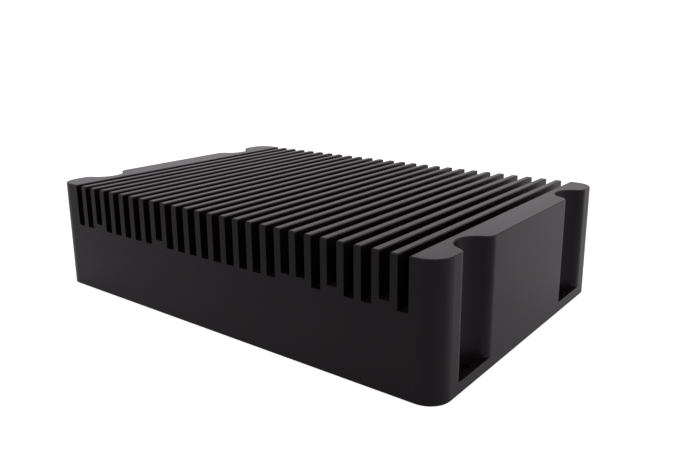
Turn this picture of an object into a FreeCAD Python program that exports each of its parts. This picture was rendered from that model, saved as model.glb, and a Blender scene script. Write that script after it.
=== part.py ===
import FreeCAD, Part
import math
import os
import Sketcher

# Fanless industrial computer: a one-piece finned housing that is also the heat sink, closed from
# below by a flush cover and at the rear by a connector plate. Millimetres, +Z up, the origin at
# the middle of the underside, -Y the plain long face, +Y the connector face.

doc = FreeCAD.newDocument("fanless_industrial_computer")
Vector = FreeCAD.Vector
SAME = 1e-6

# ----------------------------------------------------------------------------- driving sizes

SIZES = (
    ("overall_width", 248.0, "housing, left face to right face"),
    ("overall_depth", 166.0, "housing, plain face to connector face"),
    ("overall_height", 59.0, "housing, underside to fin tops"),
    ("corner_radius", 10.0, "upright corners of the housing"),
    ("fin_pitch", 8.5, "slot to slot"),
    ("slot_width", 5.0, "air slot between two fins"),
    ("left_cap", 17.0, "solid cap left of the first slot"),
    ("right_cap_least", 13.5, "least solid cap right of the last slot"),
    ("groove_depth", 22.8, "ordinary slot, from the fin tops down"),
    ("groove_step", 3.0, "how much shallower a slot is over a tapped hole"),
    ("flange_height", 5.2, "base flange left under the side pockets"),
    ("pocket_radius", 11.0, "bottom of a side pocket"),
    ("pocket_depth", 10.0, "side pocket, in from the side face"),
    ("pocket_inset", 30.0, "side pocket centre from the nearer end face"),
    ("lip_radius", 5.0, "rounded mouth of a side pocket"),
    ("mount_hole_radius", 2.25, "clearance hole in the flange"),
    ("mount_hole_inset", 5.0, "mounting hole from the side face"),
    ("edge_break", 0.4, "small chamfer on the top edges"),
    ("roof_thickness", 5.0, "under the ordinary slots"),
    ("side_wall", 18.5, "cavity to side face"),
    ("end_wall", 4.0, "cavity to end face"),
    ("cavity_corner", 6.0, "upright corners of the cavity"),
    ("cover_thickness", 3.0, "bottom cover"),
    ("cover_side_ledge", 8.5, "cover seat beside the cavity"),
    ("cover_end_ledge", 2.0, "cover seat in front of and behind the cavity"),
    ("cover_gap", 0.2, "round the cover and the connector plate"),
    ("cover_screw_ledge", 4.5, "cover screw from the cavity side"),
    ("cover_screw_end", 4.0, "end cover screw from the cavity end"),
    ("cover_boss_radius", 4.5, "cover bosses on the front wall"),
    ("cover_boss_x", 52.5, "cover bosses from the middle"),
    ("screw_radius", 1.5, "thread, outside"),
    ("screw_gap", 0.05, "between a screw and its hole"),
    ("screw_head_radius", 2.8, "head of every screw"),
    ("sunk_head_height", 1.6, "countersunk head"),
    ("pan_head_height", 1.8, "pan head"),
    ("key_radius", 1.0, "hexagon socket in a head, across corners"),
    ("key_depth", 1.0, "hexagon socket in a head, deep"),
    ("roof_tap_depth", 6.5, "tapped holes in the roof"),
    ("standoff_thread", 5.0, "standoff thread in the roof"),
    ("cover_screw_length", 10.0, "overall"),
    ("panel_screw_length", 6.0, "overall"),
    ("heat_screw_sunk", 5.0, "heat block screw head, up inside the block"),
    ("tap_spare", 0.8, "tapped hole past the end of its screw"),
    ("cut_over", 1.0, "cutters run this far past an open face"),
    ("panel_thickness", 2.0, "connector plate"),
    ("panel_side", 11.0, "housing side to connector plate"),
    ("panel_height", 28.0, "connector plate"),
    ("panel_screw_inset", 4.0, "from the plate's edges"),
    ("window_side", 9.0, "plate's side to the nearer window"),
    ("window_lip", 3.0, "plate seat above and below the windows"),
    ("mullion_x", -43.0, "post between the two windows"),
    ("mullion_width", 8.0, "post between the two windows"),
    ("panel_below_board", 8.2, "plate's lower edge under the board top"),
    ("pcb_thickness", 1.6, "both boards"),
    ("standoff_length", 18.0, "roof to board"),
    ("standoff_radius", 2.89, "hexagon, across corners"),
    ("board_wall_gap", 0.5, "boards to the rear wall"),
    ("board_corner", 3.0, "round corners of both boards"),
    ("board_screw_length", 5.0, "under the head"),
    ("mainboard_hole_x", -36.5, "left column of holes"),
    ("mainboard_hole_span", 136.0, "between the two columns"),
    ("mainboard_margin", 4.0, "hole to board edge"),
    ("mainboard_depth", 102.0, "front to back"),
    ("power_board_left", -103.0, "left edge"),
    ("power_board_width", 56.0, "left to right"),
    ("power_board_depth", 64.0, "front to back"),
    ("power_hole_x", -87.5, "left column of holes"),
    ("power_hole_span", 29.75, "between the two columns"),
    ("power_hole_front", 6.0, "front row from the board's front edge"),
    ("power_hole_rear", 26.0, "rear row from the board's rear edge"),
    ("processor_across", 97.75, "processor centre from the left holes"),
    ("processor_in", 48.5, "processor centre from the boards' rear edge"),
    ("processor_size", 37.5, "carrier, square"),
    ("processor_carrier", 1.4, "carrier, thick"),
    ("processor_lid", 26.0, "lid, square"),
    ("processor_lid_height", 1.0, "lid, thick"),
    ("pad_thickness", 0.8, "thermal pads"),
    ("heat_block_width", 44.0, "left to right"),
    ("heat_block_depth", 50.0, "front to back"),
    ("heat_block_span_x", 25.5, "screw to screw"),
    ("heat_block_span_y", 40.0, "screw to screw"),
    ("regulator_across", 93.5, "regulator block screw from the left holes"),
    ("regulator_in", 88.5, "regulator block from the boards' rear edge"),
    ("regulator_block_width", 44.0, "left to right"),
    ("regulator_block_depth", 13.0, "front to back"),
    ("regulator_size", 5.0, "each regulator, square"),
    ("regulator_height", 1.0, "each regulator"),
    ("regulator_pitch", 6.5, "regulator to regulator"),
    ("regulator_pad_spare", 2.0, "pad wider than its regulators"),
    ("choke_size", 7.0, "each choke, square"),
    ("choke_height", 4.5, "each choke"),
    ("choke_across", 125.5, "column of chokes from the left holes"),
    ("choke_pitch", 9.0, "choke to choke"),
    ("capacitor_radius", 3.15, "each capacitor"),
    ("capacitor_height", 8.0, "each capacitor"),
    ("capacitor_across", 134.0, "column of capacitors from the left holes"),
    ("supply_count", 5.0, "chokes, and capacitors, in a column"),
    ("input_choke_size", 12.0, "power board choke, square"),
    ("input_choke_height", 7.0, "power board choke"),
    ("input_choke_y", 16.0, "power board choke from the board's front edge"),
    ("input_can_radius", 5.0, "power board capacitor"),
    ("input_can_height", 12.0, "power board capacitor"),
    ("input_can_y", 32.0, "power board capacitor from the board's front edge"),
    ("connector_proud", 0.5, "connector faces in front of the plate"),
    ("cutout_gap", 0.25, "round each connector in the plate"),
    ("terminal_width", 17.4, "power terminal"),
    ("terminal_height", 10.2, "power terminal"),
    ("terminal_depth", 14.0, "power terminal"),
    ("terminal_side", 1.1, "power terminal's side walls"),
    ("terminal_lid", 1.2, "power terminal's floor and lid"),
    ("terminal_back", 3.0, "power terminal behind its mouth"),
    ("terminal_pitch", 5.08, "pin to pin"),
    ("terminal_pin", 1.0, "each pin, square"),
    ("terminal_pin_short", 3.0, "pins behind the mouth"),
    ("display_width", 15.2, "display socket"),
    ("display_height", 6.2, "display socket"),
    ("display_depth", 12.5, "display socket"),
    ("display_wall", 0.6, "display socket's shell"),
    ("display_back", 2.0, "display socket behind its mouth"),
    ("display_tongue_inset", 2.0, "tongue from the socket's sides"),
    ("display_tongue", 1.2, "contact tongue, thick"),
    ("usb_width", 14.4, "double serial-bus socket"),
    ("usb_height", 15.8, "double serial-bus socket"),
    ("socket_headroom", 1.0, "least gap from the tallest sockets to the roof"),
    ("usb_depth", 18.0, "double serial-bus socket"),
    ("usb_mouth_width", 12.6, "each mouth"),
    ("usb_mouth_height", 5.2, "each mouth"),
    ("usb_mouth_rise", 1.1, "lower mouth above the board"),
    ("usb_mouth_pitch", 7.9, "mouth to mouth"),
    ("usb_tongue", 1.8, "contact tongue, thick"),
    ("usb_tongue_inset", 0.7, "tongue from the mouth's sides and top"),
    ("tongue_short", 1.0, "tongue's end behind the mouth"),
    ("lan_width", 16.0, "network jack"),
    ("lan_height", 13.4, "network jack"),
    ("lan_depth", 21.0, "network jack"),
    ("lan_mouth_width", 11.8, "network jack mouth"),
    ("lan_mouth_height", 7.2, "network jack mouth"),
    ("lan_mouth_rise", 3.4, "mouth above the board"),
    ("lan_key_width", 6.0, "latch way above the mouth"),
    ("lan_key_height", 1.6, "latch way above the mouth"),
    ("mouth_depth", 12.0, "network jack and serial-bus mouths"),
    ("jack_span", 25.0, "serial port screws"),
    ("serial_mouth_low", 15.2, "serial shell, narrow side"),
    ("serial_mouth_high", 17.0, "serial shell, wide side"),
    ("serial_mouth_height", 8.4, "serial shell"),
    ("serial_rise", 6.3, "serial port axis above the board"),
    ("serial_shell_wall", 0.5, "serial shell"),
    ("serial_shell_proud", 5.8, "serial shell in front of its flange"),
    ("serial_flange_width", 30.8, "serial flange"),
    ("serial_flange_height", 12.4, "serial flange"),
    ("serial_flange", 1.0, "serial flange, thick"),
    ("serial_pin_radius", 0.5, "serial pins"),
    ("serial_pin_pitch", 2.77, "serial pins"),
    ("serial_row_pitch", 2.84, "serial pins"),
    ("serial_body_depth", 11.0, "serial port behind its flange"),
    ("serial_body_side", 1.0, "serial port's body past its shell, each side"),
    ("serial_body_above", 5.0, "serial port's body above its axis"),
    ("serial_floor", 0.3, "insulator's face in front of the plate's back"),
    ("serial_pin_short", 1.0, "pins behind the shell's mouth"),
    ("jack_thread_spare", 2.0, "jack screw's thread past the flange"),
    ("jack_screw_radius", 2.9, "hexagon, across corners"),
    ("jack_screw_height", 4.6, "hexagon in front of the plate"),
    ("jack_bore_radius", 1.1, "tapped bore in each hexagon"),
    ("jack_bore_depth", 4.0, "tapped bore in each hexagon"),
    ("serial_x", -14.5, "nine-way serial port"),
    ("display_x", 12.0, "display socket"),
    ("usb_first_x", 31.0, "first double serial-bus socket"),
    ("usb_second_x", 47.5, "second double serial-bus socket"),
    ("lan_first_x", 66.5, "first network jack"),
    ("lan_second_x", 84.5, "second network jack"),
    ("terminal_x", -88.0, "power terminal"),
    ("button_x", -68.5, "power button"),
    ("button_rise", 5.5, "button axis above the board"),
    ("button_radius", 4.0, "button cap"),
    ("button_proud", 1.8, "button cap in front of the plate"),
    ("button_travel", 1.2, "full stroke"),
    ("button_play", 0.3, "round the button cap"),
    ("button_rim", 1.2, "rim that keeps the cap, past the cap"),
    ("button_rim_thick", 1.0, "rim that keeps the cap"),
    ("switch_size", 7.0, "switch, square"),
    ("switch_above", 3.0, "switch above the button's axis"),
    ("switch_gap", 0.5, "switch to stem, button pressed"),
    ("switch_bore_spare", 1.5, "switch bore past its plunger"),
    ("plunger_radius", 1.75, "switch plunger"),
    ("led_first_x", -57.5, "first status light"),
    ("led_second_x", -52.5, "second status light"),
    ("led_rise", 4.0, "status light axis above the board"),
    ("light_pipe_radius", 1.5, "status light pipe"),
    ("battery_across", 12.5, "coin cell from the left holes"),
    ("battery_in", 76.5, "coin cell from the boards' rear edge"),
    ("battery_radius", 10.0, "coin cell"),
    ("battery_height", 3.2, "coin cell"),
    ("holder_wall", 1.4, "coin cell holder, wall and gap"),
    ("holder_floor", 0.8, "coin cell holder, floor"),
    ("holder_gap", 0.1, "round the coin cell"),
    ("holder_short", 0.2, "cell's face above its holder's rim"),
    ("holder_gate_width", 11.0, "opening in the holder's front"),
    ("holder_gate_depth", 8.0, "opening in the holder's front"),
    ("memory_across", 5.5, "memory socket's left end from the left holes"),
    ("memory_in", 74.5, "memory socket's front from the boards' rear edge"),
    ("storage_across", 86.5, "storage card's left end from the left holes"),
    ("storage_in", 76.5, "storage card's front from the boards' rear edge"),
    ("memory_width", 67.6, "memory card"),
    ("memory_depth", 30.0, "memory card"),
    ("memory_card", 1.0, "memory and storage cards, thick"),
    ("memory_hang", 4.0, "memory socket, down from the board"),
    ("memory_socket_depth", 7.0, "memory socket"),
    ("memory_bite", 4.0, "memory card in its socket"),
    ("memory_socket_end", 2.0, "memory socket past each end of its card"),
    ("memory_card_lift", 1.0, "memory card above its socket's underside"),
    ("memory_chip_count", 4.0, "packages on the memory card"),
    ("memory_chip_width", 10.0, "each memory package, left to right"),
    ("memory_chip_depth", 12.0, "each memory package, front to back"),
    ("memory_chip_height", 1.0, "each memory package"),
    ("memory_chip_in", 13.0, "memory packages behind the socket"),
    ("storage_hang", 3.2, "storage card, down from the board"),
    ("storage_length", 42.0, "storage card"),
    ("storage_width", 22.0, "storage card"),
    ("storage_socket_length", 8.5, "storage socket, left to right"),
    ("storage_bite", 4.0, "storage card's slot in its socket"),
    ("storage_socket_back", 6.0, "storage socket left of the card's end"),
    ("storage_socket_end", 0.5, "storage socket past each side of its card"),
    ("storage_socket_floor", 1.0, "storage socket under its card"),
    ("storage_chip_first", 12.0, "first package from the card's left end"),
    ("storage_chip_second", 28.0, "second package from the card's left end"),
    ("storage_chip_length", 14.0, "each storage package, left to right"),
    ("storage_chip_width", 16.0, "each storage package, front to back"),
    ("storage_chip_height", 0.8, "each storage package"),
    ("storage_screw_short", 0.2, "screw's end short of the board"),
    ("link_overhang", 3.25, "board link past the mainboard's edge"),
    ("button_stem", 4.0, "button stem behind its rim's face"),
    ("plunger_length", 4.0, "switch plunger"),
    ("light_pipe_length", 6.0, "status light pipe"),
    ("light_pipe_proud", 0.4, "light pipe in front of the plate"),
    ("lamp_width", 3.4, "each lamp"),
    ("lamp_depth", 4.0, "each lamp"),
    ("lamp_above", 2.0, "lamp above the light pipe's axis"),
    ("link_in", 54.5, "board link's front from the boards' rear edge"),
    ("link_length", 20.0, "board link, front to back"),
    ("link_body", 9.0, "each half of the board link, left to right"),
    ("link_height", 6.0, "each half of the board link"),
    ("link_wall", 1.5, "board link's walls"),
    ("link_mouth", 6.0, "board link socket's mouth, deep"),
    ("link_tongue", 5.5, "board link plug's tongue, long"),
    ("earth_x", 98.5, "earth screw on the connector plate"),
    ("earth_rise", 6.0, "earth screw above the board"),
    ("washer_radius", 3.6, "earth washer"),
    ("washer_thickness", 0.6, "earth washer"),
    ("earth_thread", 1.5, "earth screw's thread past the plate"),
)

# Values that follow from the driving sizes; each is a formula in the same sheet.
DERIVED = (
    ("half_width", "overall_width / 2"),
    ("half_depth", "overall_depth / 2"),
    ("first_slot", "left_cap - half_width"),
    ("slot_room", "overall_width - left_cap - right_cap_least - slot_width"),
    ("slot_count", "floor(slot_room / fin_pitch + 0.001) + 1"),
    ("pocket_centre_x", "half_width + pocket_radius - pocket_depth"),
    ("pocket_centre_y", "half_depth - pocket_inset"),
    ("lip_centre_x", "half_width - lip_radius"),
    ("lip_reach", "pocket_centre_x - lip_centre_x"),
    ("lip_rise", "sqrt((pocket_radius + lip_radius) ^ 2 - lip_reach ^ 2)"),
    ("lip_share", "pocket_radius / (pocket_radius + lip_radius)"),
    ("cavity_half_width", "half_width - side_wall"),
    ("cavity_half_depth", "half_depth - end_wall"),
    ("ceiling", "overall_height - groove_depth - roof_thickness"),
    ("board_top", "ceiling - standoff_length"),
    ("board_under", "board_top - pcb_thickness"),
    ("socket_relief", "board_top + usb_height + socket_headroom - ceiling"),
    ("board_rear", "cavity_half_depth - board_wall_gap"),
    ("tap_radius", "screw_radius + screw_gap"),
    ("cover_half_width", "cavity_half_width + cover_side_ledge"),
    ("cover_half_depth", "cavity_half_depth + cover_end_ledge"),
    ("cover_screw_x", "cavity_half_width + cover_screw_ledge"),
    ("cover_screw_y", "cavity_half_depth - cover_screw_end"),
    ("panel_under", "board_top - panel_below_board"),
    ("panel_inner_y", "half_depth - panel_thickness"),
    ("face_y", "half_depth + connector_proud"),
    ("serial_z", "board_top + serial_rise"),
    ("panel_half_width", "half_width - panel_side"),
    ("window_half_width", "panel_half_width - window_side"),
    ("processor_x", "mainboard_hole_x + processor_across"),
    ("processor_y", "board_rear - processor_in"),
    ("regulator_x", "mainboard_hole_x + regulator_across"),
    ("regulator_y", "board_rear - regulator_in"),
    ("choke_x", "mainboard_hole_x + choke_across"),
    ("capacitor_x", "mainboard_hole_x + capacitor_across"),
    ("battery_x", "mainboard_hole_x + battery_across"),
    ("battery_y", "board_rear - battery_in"),
    ("memory_x", "mainboard_hole_x + memory_across"),
    ("memory_y", "board_rear - memory_in"),
    ("storage_x", "mainboard_hole_x + storage_across"),
    ("storage_y", "board_rear - storage_in"),
    ("link_y", "board_rear - link_in"),
    ("processor_top", "board_top + processor_carrier + processor_lid_height"),
)

sheet = doc.addObject("Spreadsheet::Sheet", "dims")
for row, (alias, value, meaning) in enumerate(SIZES, 1):
    sheet.set(f"A{row}", meaning)
    sheet.set(f"B{row}", str(value))
    sheet.setAlias(f"B{row}", alias)
for row, (alias, formula) in enumerate(DERIVED, len(SIZES) + 2):
    sheet.set(f"A{row}", "follows from the sizes above")
    sheet.set(f"B{row}", "=" + formula)
    sheet.setAlias(f"B{row}", alias)
doc.recompute()

ALIASES = sorted([row[0] for row in SIZES] + [row[0] for row in DERIVED], key=len, reverse=True)
nodes = []


def full(text):
    """An expression in sheet names, such as 'half_width - side_wall', as FreeCAD reads it."""
    words = []
    word = ""
    for sign in str(text) + " ":
        if sign.isalnum() or sign in "_.":
            word += sign
            continue
        words.append("dims." + word if word in ALIASES else word)
        words.append(sign)
        word = ""
    return "".join(words).strip()


def number(text):
    """The present value of an expression."""
    return float(sheet.evalExpression(full(text)))


def node(item, label):
    """Names a finished sub-part; its label is also its file's name."""
    item.Label = label
    nodes.append(item)
    return item


# ----------------------------------------------------------------------------- primitives

WAYS = {
    "+z": FreeCAD.Rotation(),
    "-z": FreeCAD.Rotation(Vector(1, 0, 0), 180),
    "+y": FreeCAD.Rotation(Vector(1, 0, 0), -90),
    "-y": FreeCAD.Rotation(Vector(1, 0, 0), 90),
}


def bind(item, place, way="+z", **sizes):
    """Binds an object's sizes and place to the sheet."""
    item.Placement = FreeCAD.Placement(Vector(), WAYS[way])
    for name, text in sizes.items():
        item.setExpression(name, full(text))
    for axis, text in zip("xyz", place):
        item.setExpression("Placement.Base." + axis, full(text))
    return item


def box(name, place, size):
    """A box from its lowest corner."""
    item = doc.addObject("Part::Box", name)
    return bind(item, place, Length=size[0], Width=size[1], Height=size[2])


def middle_box(name, place, size):
    """A box whose place is the middle of its underside."""
    corner = (f"{place[0]} - ({size[0]}) / 2", f"{place[1]} - ({size[1]}) / 2", place[2])
    return box(name, corner, size)


def rod(name, place, radius, length, way="+z"):
    item = doc.addObject("Part::Cylinder", name)
    return bind(item, place, way, Radius=radius, Height=length)


def cone(name, place, start, end, length, way="+z"):
    item = doc.addObject("Part::Cone", name)
    return bind(item, place, way, Radius1=start, Radius2=end, Height=length)


def hexagon(name, place, radius, length, way="+z"):
    item = doc.addObject("Part::Prism", name)
    item.Polygon = 6
    return bind(item, place, way, Circumradius=radius, Height=length)


def join(name, items):
    item = doc.addObject("Part::MultiFuse", name)
    item.Shapes = items
    return item


def group(name, items):
    """Several separate solids kept as one sub-part."""
    item = doc.addObject("Part::Compound", name)
    item.Links = items
    return item


def less(name, base, tools):
    """The base with every tool cut out of it."""
    item = doc.addObject("Part::Cut", name)
    item.Base = base
    item.Tool = tools[0] if len(tools) == 1 else group(name + "_tools", tools)
    return item


# ----------------------------------------------------------------------------- sketched bodies

def new_body(name):
    return doc.addObject("PartDesign::Body", name)


def new_sketch(owner, name, role="XY_Plane", lift="0"):
    """A sketch on one of the body's own planes, lifted along the plane's normal."""
    item = owner.newObject("Sketcher::SketchObject", name)
    flat = next(part for part in owner.Origin.OriginFeatures if part.Role == role)
    item.AttachmentSupport = [(flat, "")]
    item.MapMode = "FlatFace"
    item.setExpression("AttachmentOffset.Base.z", full(lift))
    return item


def hold(item, constraint, text=None):
    """Adds a constraint, bound to an expression where it has one."""
    index = item.addConstraint(constraint)
    if text is not None:
        item.setExpression(f"Constraints[{index}]", full(text))


def add_loop(item, steps):
    """A closed loop in which each step starts an edge, all in expressions.

    (x, y) starts a straight edge, and (x, y, radius, centre_x, centre_y) the shorter arc
    about that centre.
    """
    places = [Vector(number(step[0]), number(step[1]), 0) for step in steps]
    edges = []
    for step, start, end in zip(steps, places, places[1:] + places[:1]):
        if len(step) == 2:
            edges.append((item.addGeometry(Part.LineSegment(start, end)), 1, 2))
            continue
        middle = Vector(number(step[3]), number(step[4]), 0)
        angles = [math.atan2(spot.y - middle.y, spot.x - middle.x) for spot in (start, end)]
        turned = (angles[1] - angles[0]) % (2 * math.pi) > math.pi
        if turned:
            angles.reverse()
        circle = Part.Circle(middle, Vector(0, 0, 1), number(step[2]))
        edge = item.addGeometry(Part.ArcOfCircle(circle, *angles))
        edges.append((edge, 2, 1) if turned else (edge, 1, 2))
    for (edge, _, finish), (follower, begin, _) in zip(edges, edges[1:] + edges[:1]):
        hold(item, Sketcher.Constraint("Coincident", edge, finish, follower, begin))
    for (edge, begin, _), step in zip(edges, steps):
        hold(item, Sketcher.Constraint("DistanceX", -1, 1, edge, begin, number(step[0])), step[0])
        hold(item, Sketcher.Constraint("DistanceY", -1, 1, edge, begin, number(step[1])), step[1])
        if len(step) > 2:
            hold(item, Sketcher.Constraint("Radius", edge, number(step[2])), step[2])


def add_rectangle(item, left, low, width, height):
    right = f"({left}) + ({width})"
    top = f"({low}) + ({height})"
    add_loop(item, ((left, low), (right, low), (right, top), (left, top)))


def add_rounded_rectangle(item, half_x, half_y, radius, centre=("0", "0")):
    """A rectangle about a centre with four equal round corners."""
    steps = []
    for side, end in ((1, -1), (1, 1), (-1, 1), (-1, -1)):
        edge_x = f"{centre[0]} + {side} * ({half_x})"
        edge_y = f"{centre[1]} + {end} * ({half_y})"
        inner_x = f"{centre[0]} + {side} * (({half_x}) - ({radius}))"
        inner_y = f"{centre[1]} + {end} * (({half_y}) - ({radius}))"
        on_end, on_side = (inner_x, edge_y), (edge_x, inner_y)
        first, last = (on_end, on_side) if side * end < 0 else (on_side, on_end)
        steps.append((*first, radius, inner_x, inner_y))
        steps.append(last)
    add_loop(item, steps)


def add_circle(item, x, y, radius):
    shape = Part.Circle(Vector(number(x), number(y), 0), Vector(0, 0, 1), number(radius))
    edge = item.addGeometry(shape)
    hold(item, Sketcher.Constraint("DistanceX", -1, 1, edge, 3, number(x)), x)
    hold(item, Sketcher.Constraint("DistanceY", -1, 1, edge, 3, number(y)), y)
    hold(item, Sketcher.Constraint("Radius", edge, number(radius)), radius)


def pad(owner, name, profile, length, backwards=False):
    item = owner.newObject("PartDesign::Pad", name)
    item.Profile = profile
    item.Reversed = backwards
    item.setExpression("Length", full(length))
    owner.Tip = item
    return item


def pocket(owner, name, profile, length=None, backwards=False):
    """Cuts a profile to a length, or right through both ways where none is given."""
    item = owner.newObject("PartDesign::Pocket", name)
    item.Profile = profile
    item.Reversed = backwards
    if length is None:
        item.Type = 1
        item.SideType = 2
    else:
        item.setExpression("Length", full(length))
    owner.Tip = item
    return item


# ----------------------------------------------------------------------------- screws

def sunk_screw(name, place, length, way):
    """A countersunk screw, head flush at its place, pointing along way."""
    shank = rod(name + "_shank", place, "screw_radius", length, way)
    head = cone(name + "_head", place, "screw_head_radius", "screw_radius", "sunk_head_height", way)
    key = hexagon(name + "_key", place, "key_radius", "key_depth", way)
    return less(name, join(name + "_solid", [head, shank]), [key])


def pan_screw(name, place, length, way):
    """A pan head screw, seated at its place, with its thread pointing along way."""
    sign = "-" if way[0] == "+" else "+"
    axis = "xyz".index(way[1])
    top = list(place)
    top[axis] = f"{place[axis]} {sign} pan_head_height"
    shank = rod(name + "_shank", place, "screw_radius", length, way)
    head = rod(name + "_head", top, "screw_head_radius", "pan_head_height", way)
    return join(name, [head, shank])


def sink(name, place, way):
    """The countersink that a countersunk screw's head lies in."""
    return cone(name, place, "screw_head_radius + screw_gap", "tap_radius",
                "sunk_head_height", way)


# ----------------------------------------------------------------------------- where things go

MAINBOARD_COLUMNS = ("mainboard_hole_x", "mainboard_hole_x + mainboard_hole_span")
MAINBOARD_ROWS = ("board_rear - mainboard_margin",
                  "board_rear - mainboard_depth + mainboard_margin")
MAINBOARD_HOLES = [(x, y) for x in MAINBOARD_COLUMNS for y in MAINBOARD_ROWS]
POWER_COLUMNS = ("power_hole_x", "power_hole_x + power_hole_span")
POWER_ROWS = ("board_rear - power_board_depth + power_hole_front",
              "board_rear - power_hole_rear")
POWER_HOLES = [(x, y) for x in POWER_COLUMNS for y in POWER_ROWS]
HEAT_BLOCK_COLUMNS = ("processor_x - heat_block_span_x / 2", "processor_x + heat_block_span_x / 2")
HEAT_BLOCK_ROWS = ("processor_y - heat_block_span_y / 2", "processor_y + heat_block_span_y / 2")
HEAT_BLOCK_HOLES = [(x, y) for x in HEAT_BLOCK_COLUMNS for y in HEAT_BLOCK_ROWS]
ROOF_HOLES = MAINBOARD_HOLES + POWER_HOLES + HEAT_BLOCK_HOLES + [("regulator_x", "regulator_y")]
COVER_HOLES = []
for side in (-1, 1):
    for share in (-3, -1, 1, 3):
        COVER_HOLES.append((f"{side} * cover_screw_x", f"{share} * cover_screw_y / 3"))
FRONT_BOSSES = [(f"{side} * cover_boss_x", "-cover_screw_y") for side in (-1, 1)]
COVER_HOLES += FRONT_BOSSES
PANEL_HOLES = []
for column in ("-panel_half_width + panel_screw_inset", "mullion_x",
               "panel_half_width - panel_screw_inset"):
    for height in ("panel_under + panel_screw_inset",
                   "panel_under + panel_height - panel_screw_inset"):
        PANEL_HOLES.append((column, height))
FLANGE_HOLES = []
for side in (-1, 1):
    for end in (-1, 1):
        FLANGE_HOLES.append((f"{side} * (half_width - mount_hole_inset)",
                             f"{end} * pocket_centre_y"))


def slot_is_shallow(index):
    """A slot that passes over a tapped hole in the roof stops short of it."""
    middle = number(f"first_slot + {index} * fin_pitch + slot_width / 2")
    reach = number("slot_width / 2 + tap_radius")
    columns = {round(number(x), 3) for x, y in ROOF_HOLES}
    return any(abs(middle - column) < reach for column in columns)


# ----------------------------------------------------------------------------- housing

def add_pocket_outline(item, side, end):
    """One side pocket in plan: a round bottom that flares into the side face."""
    def spot(x, y):
        return (f"{side} * ({x})", f"{end} * pocket_centre_y + ({y})")

    beyond = "half_width + pocket_radius"
    touch_x = "pocket_centre_x - lip_reach * lip_share"
    touch_y = "lip_rise * lip_share"
    add_loop(item, (
        (*spot("half_width", "-lip_rise"), "lip_radius", *spot("lip_centre_x", "-lip_rise")),
        (*spot(touch_x, f"-{touch_y}"), "pocket_radius", *spot("pocket_centre_x", "0")),
        (*spot(touch_x, touch_y), "lip_radius", *spot("lip_centre_x", "lip_rise")),
        spot("half_width", "lip_rise"),
        spot(beyond, "lip_rise"),
        spot(beyond, "-lip_rise")))


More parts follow.
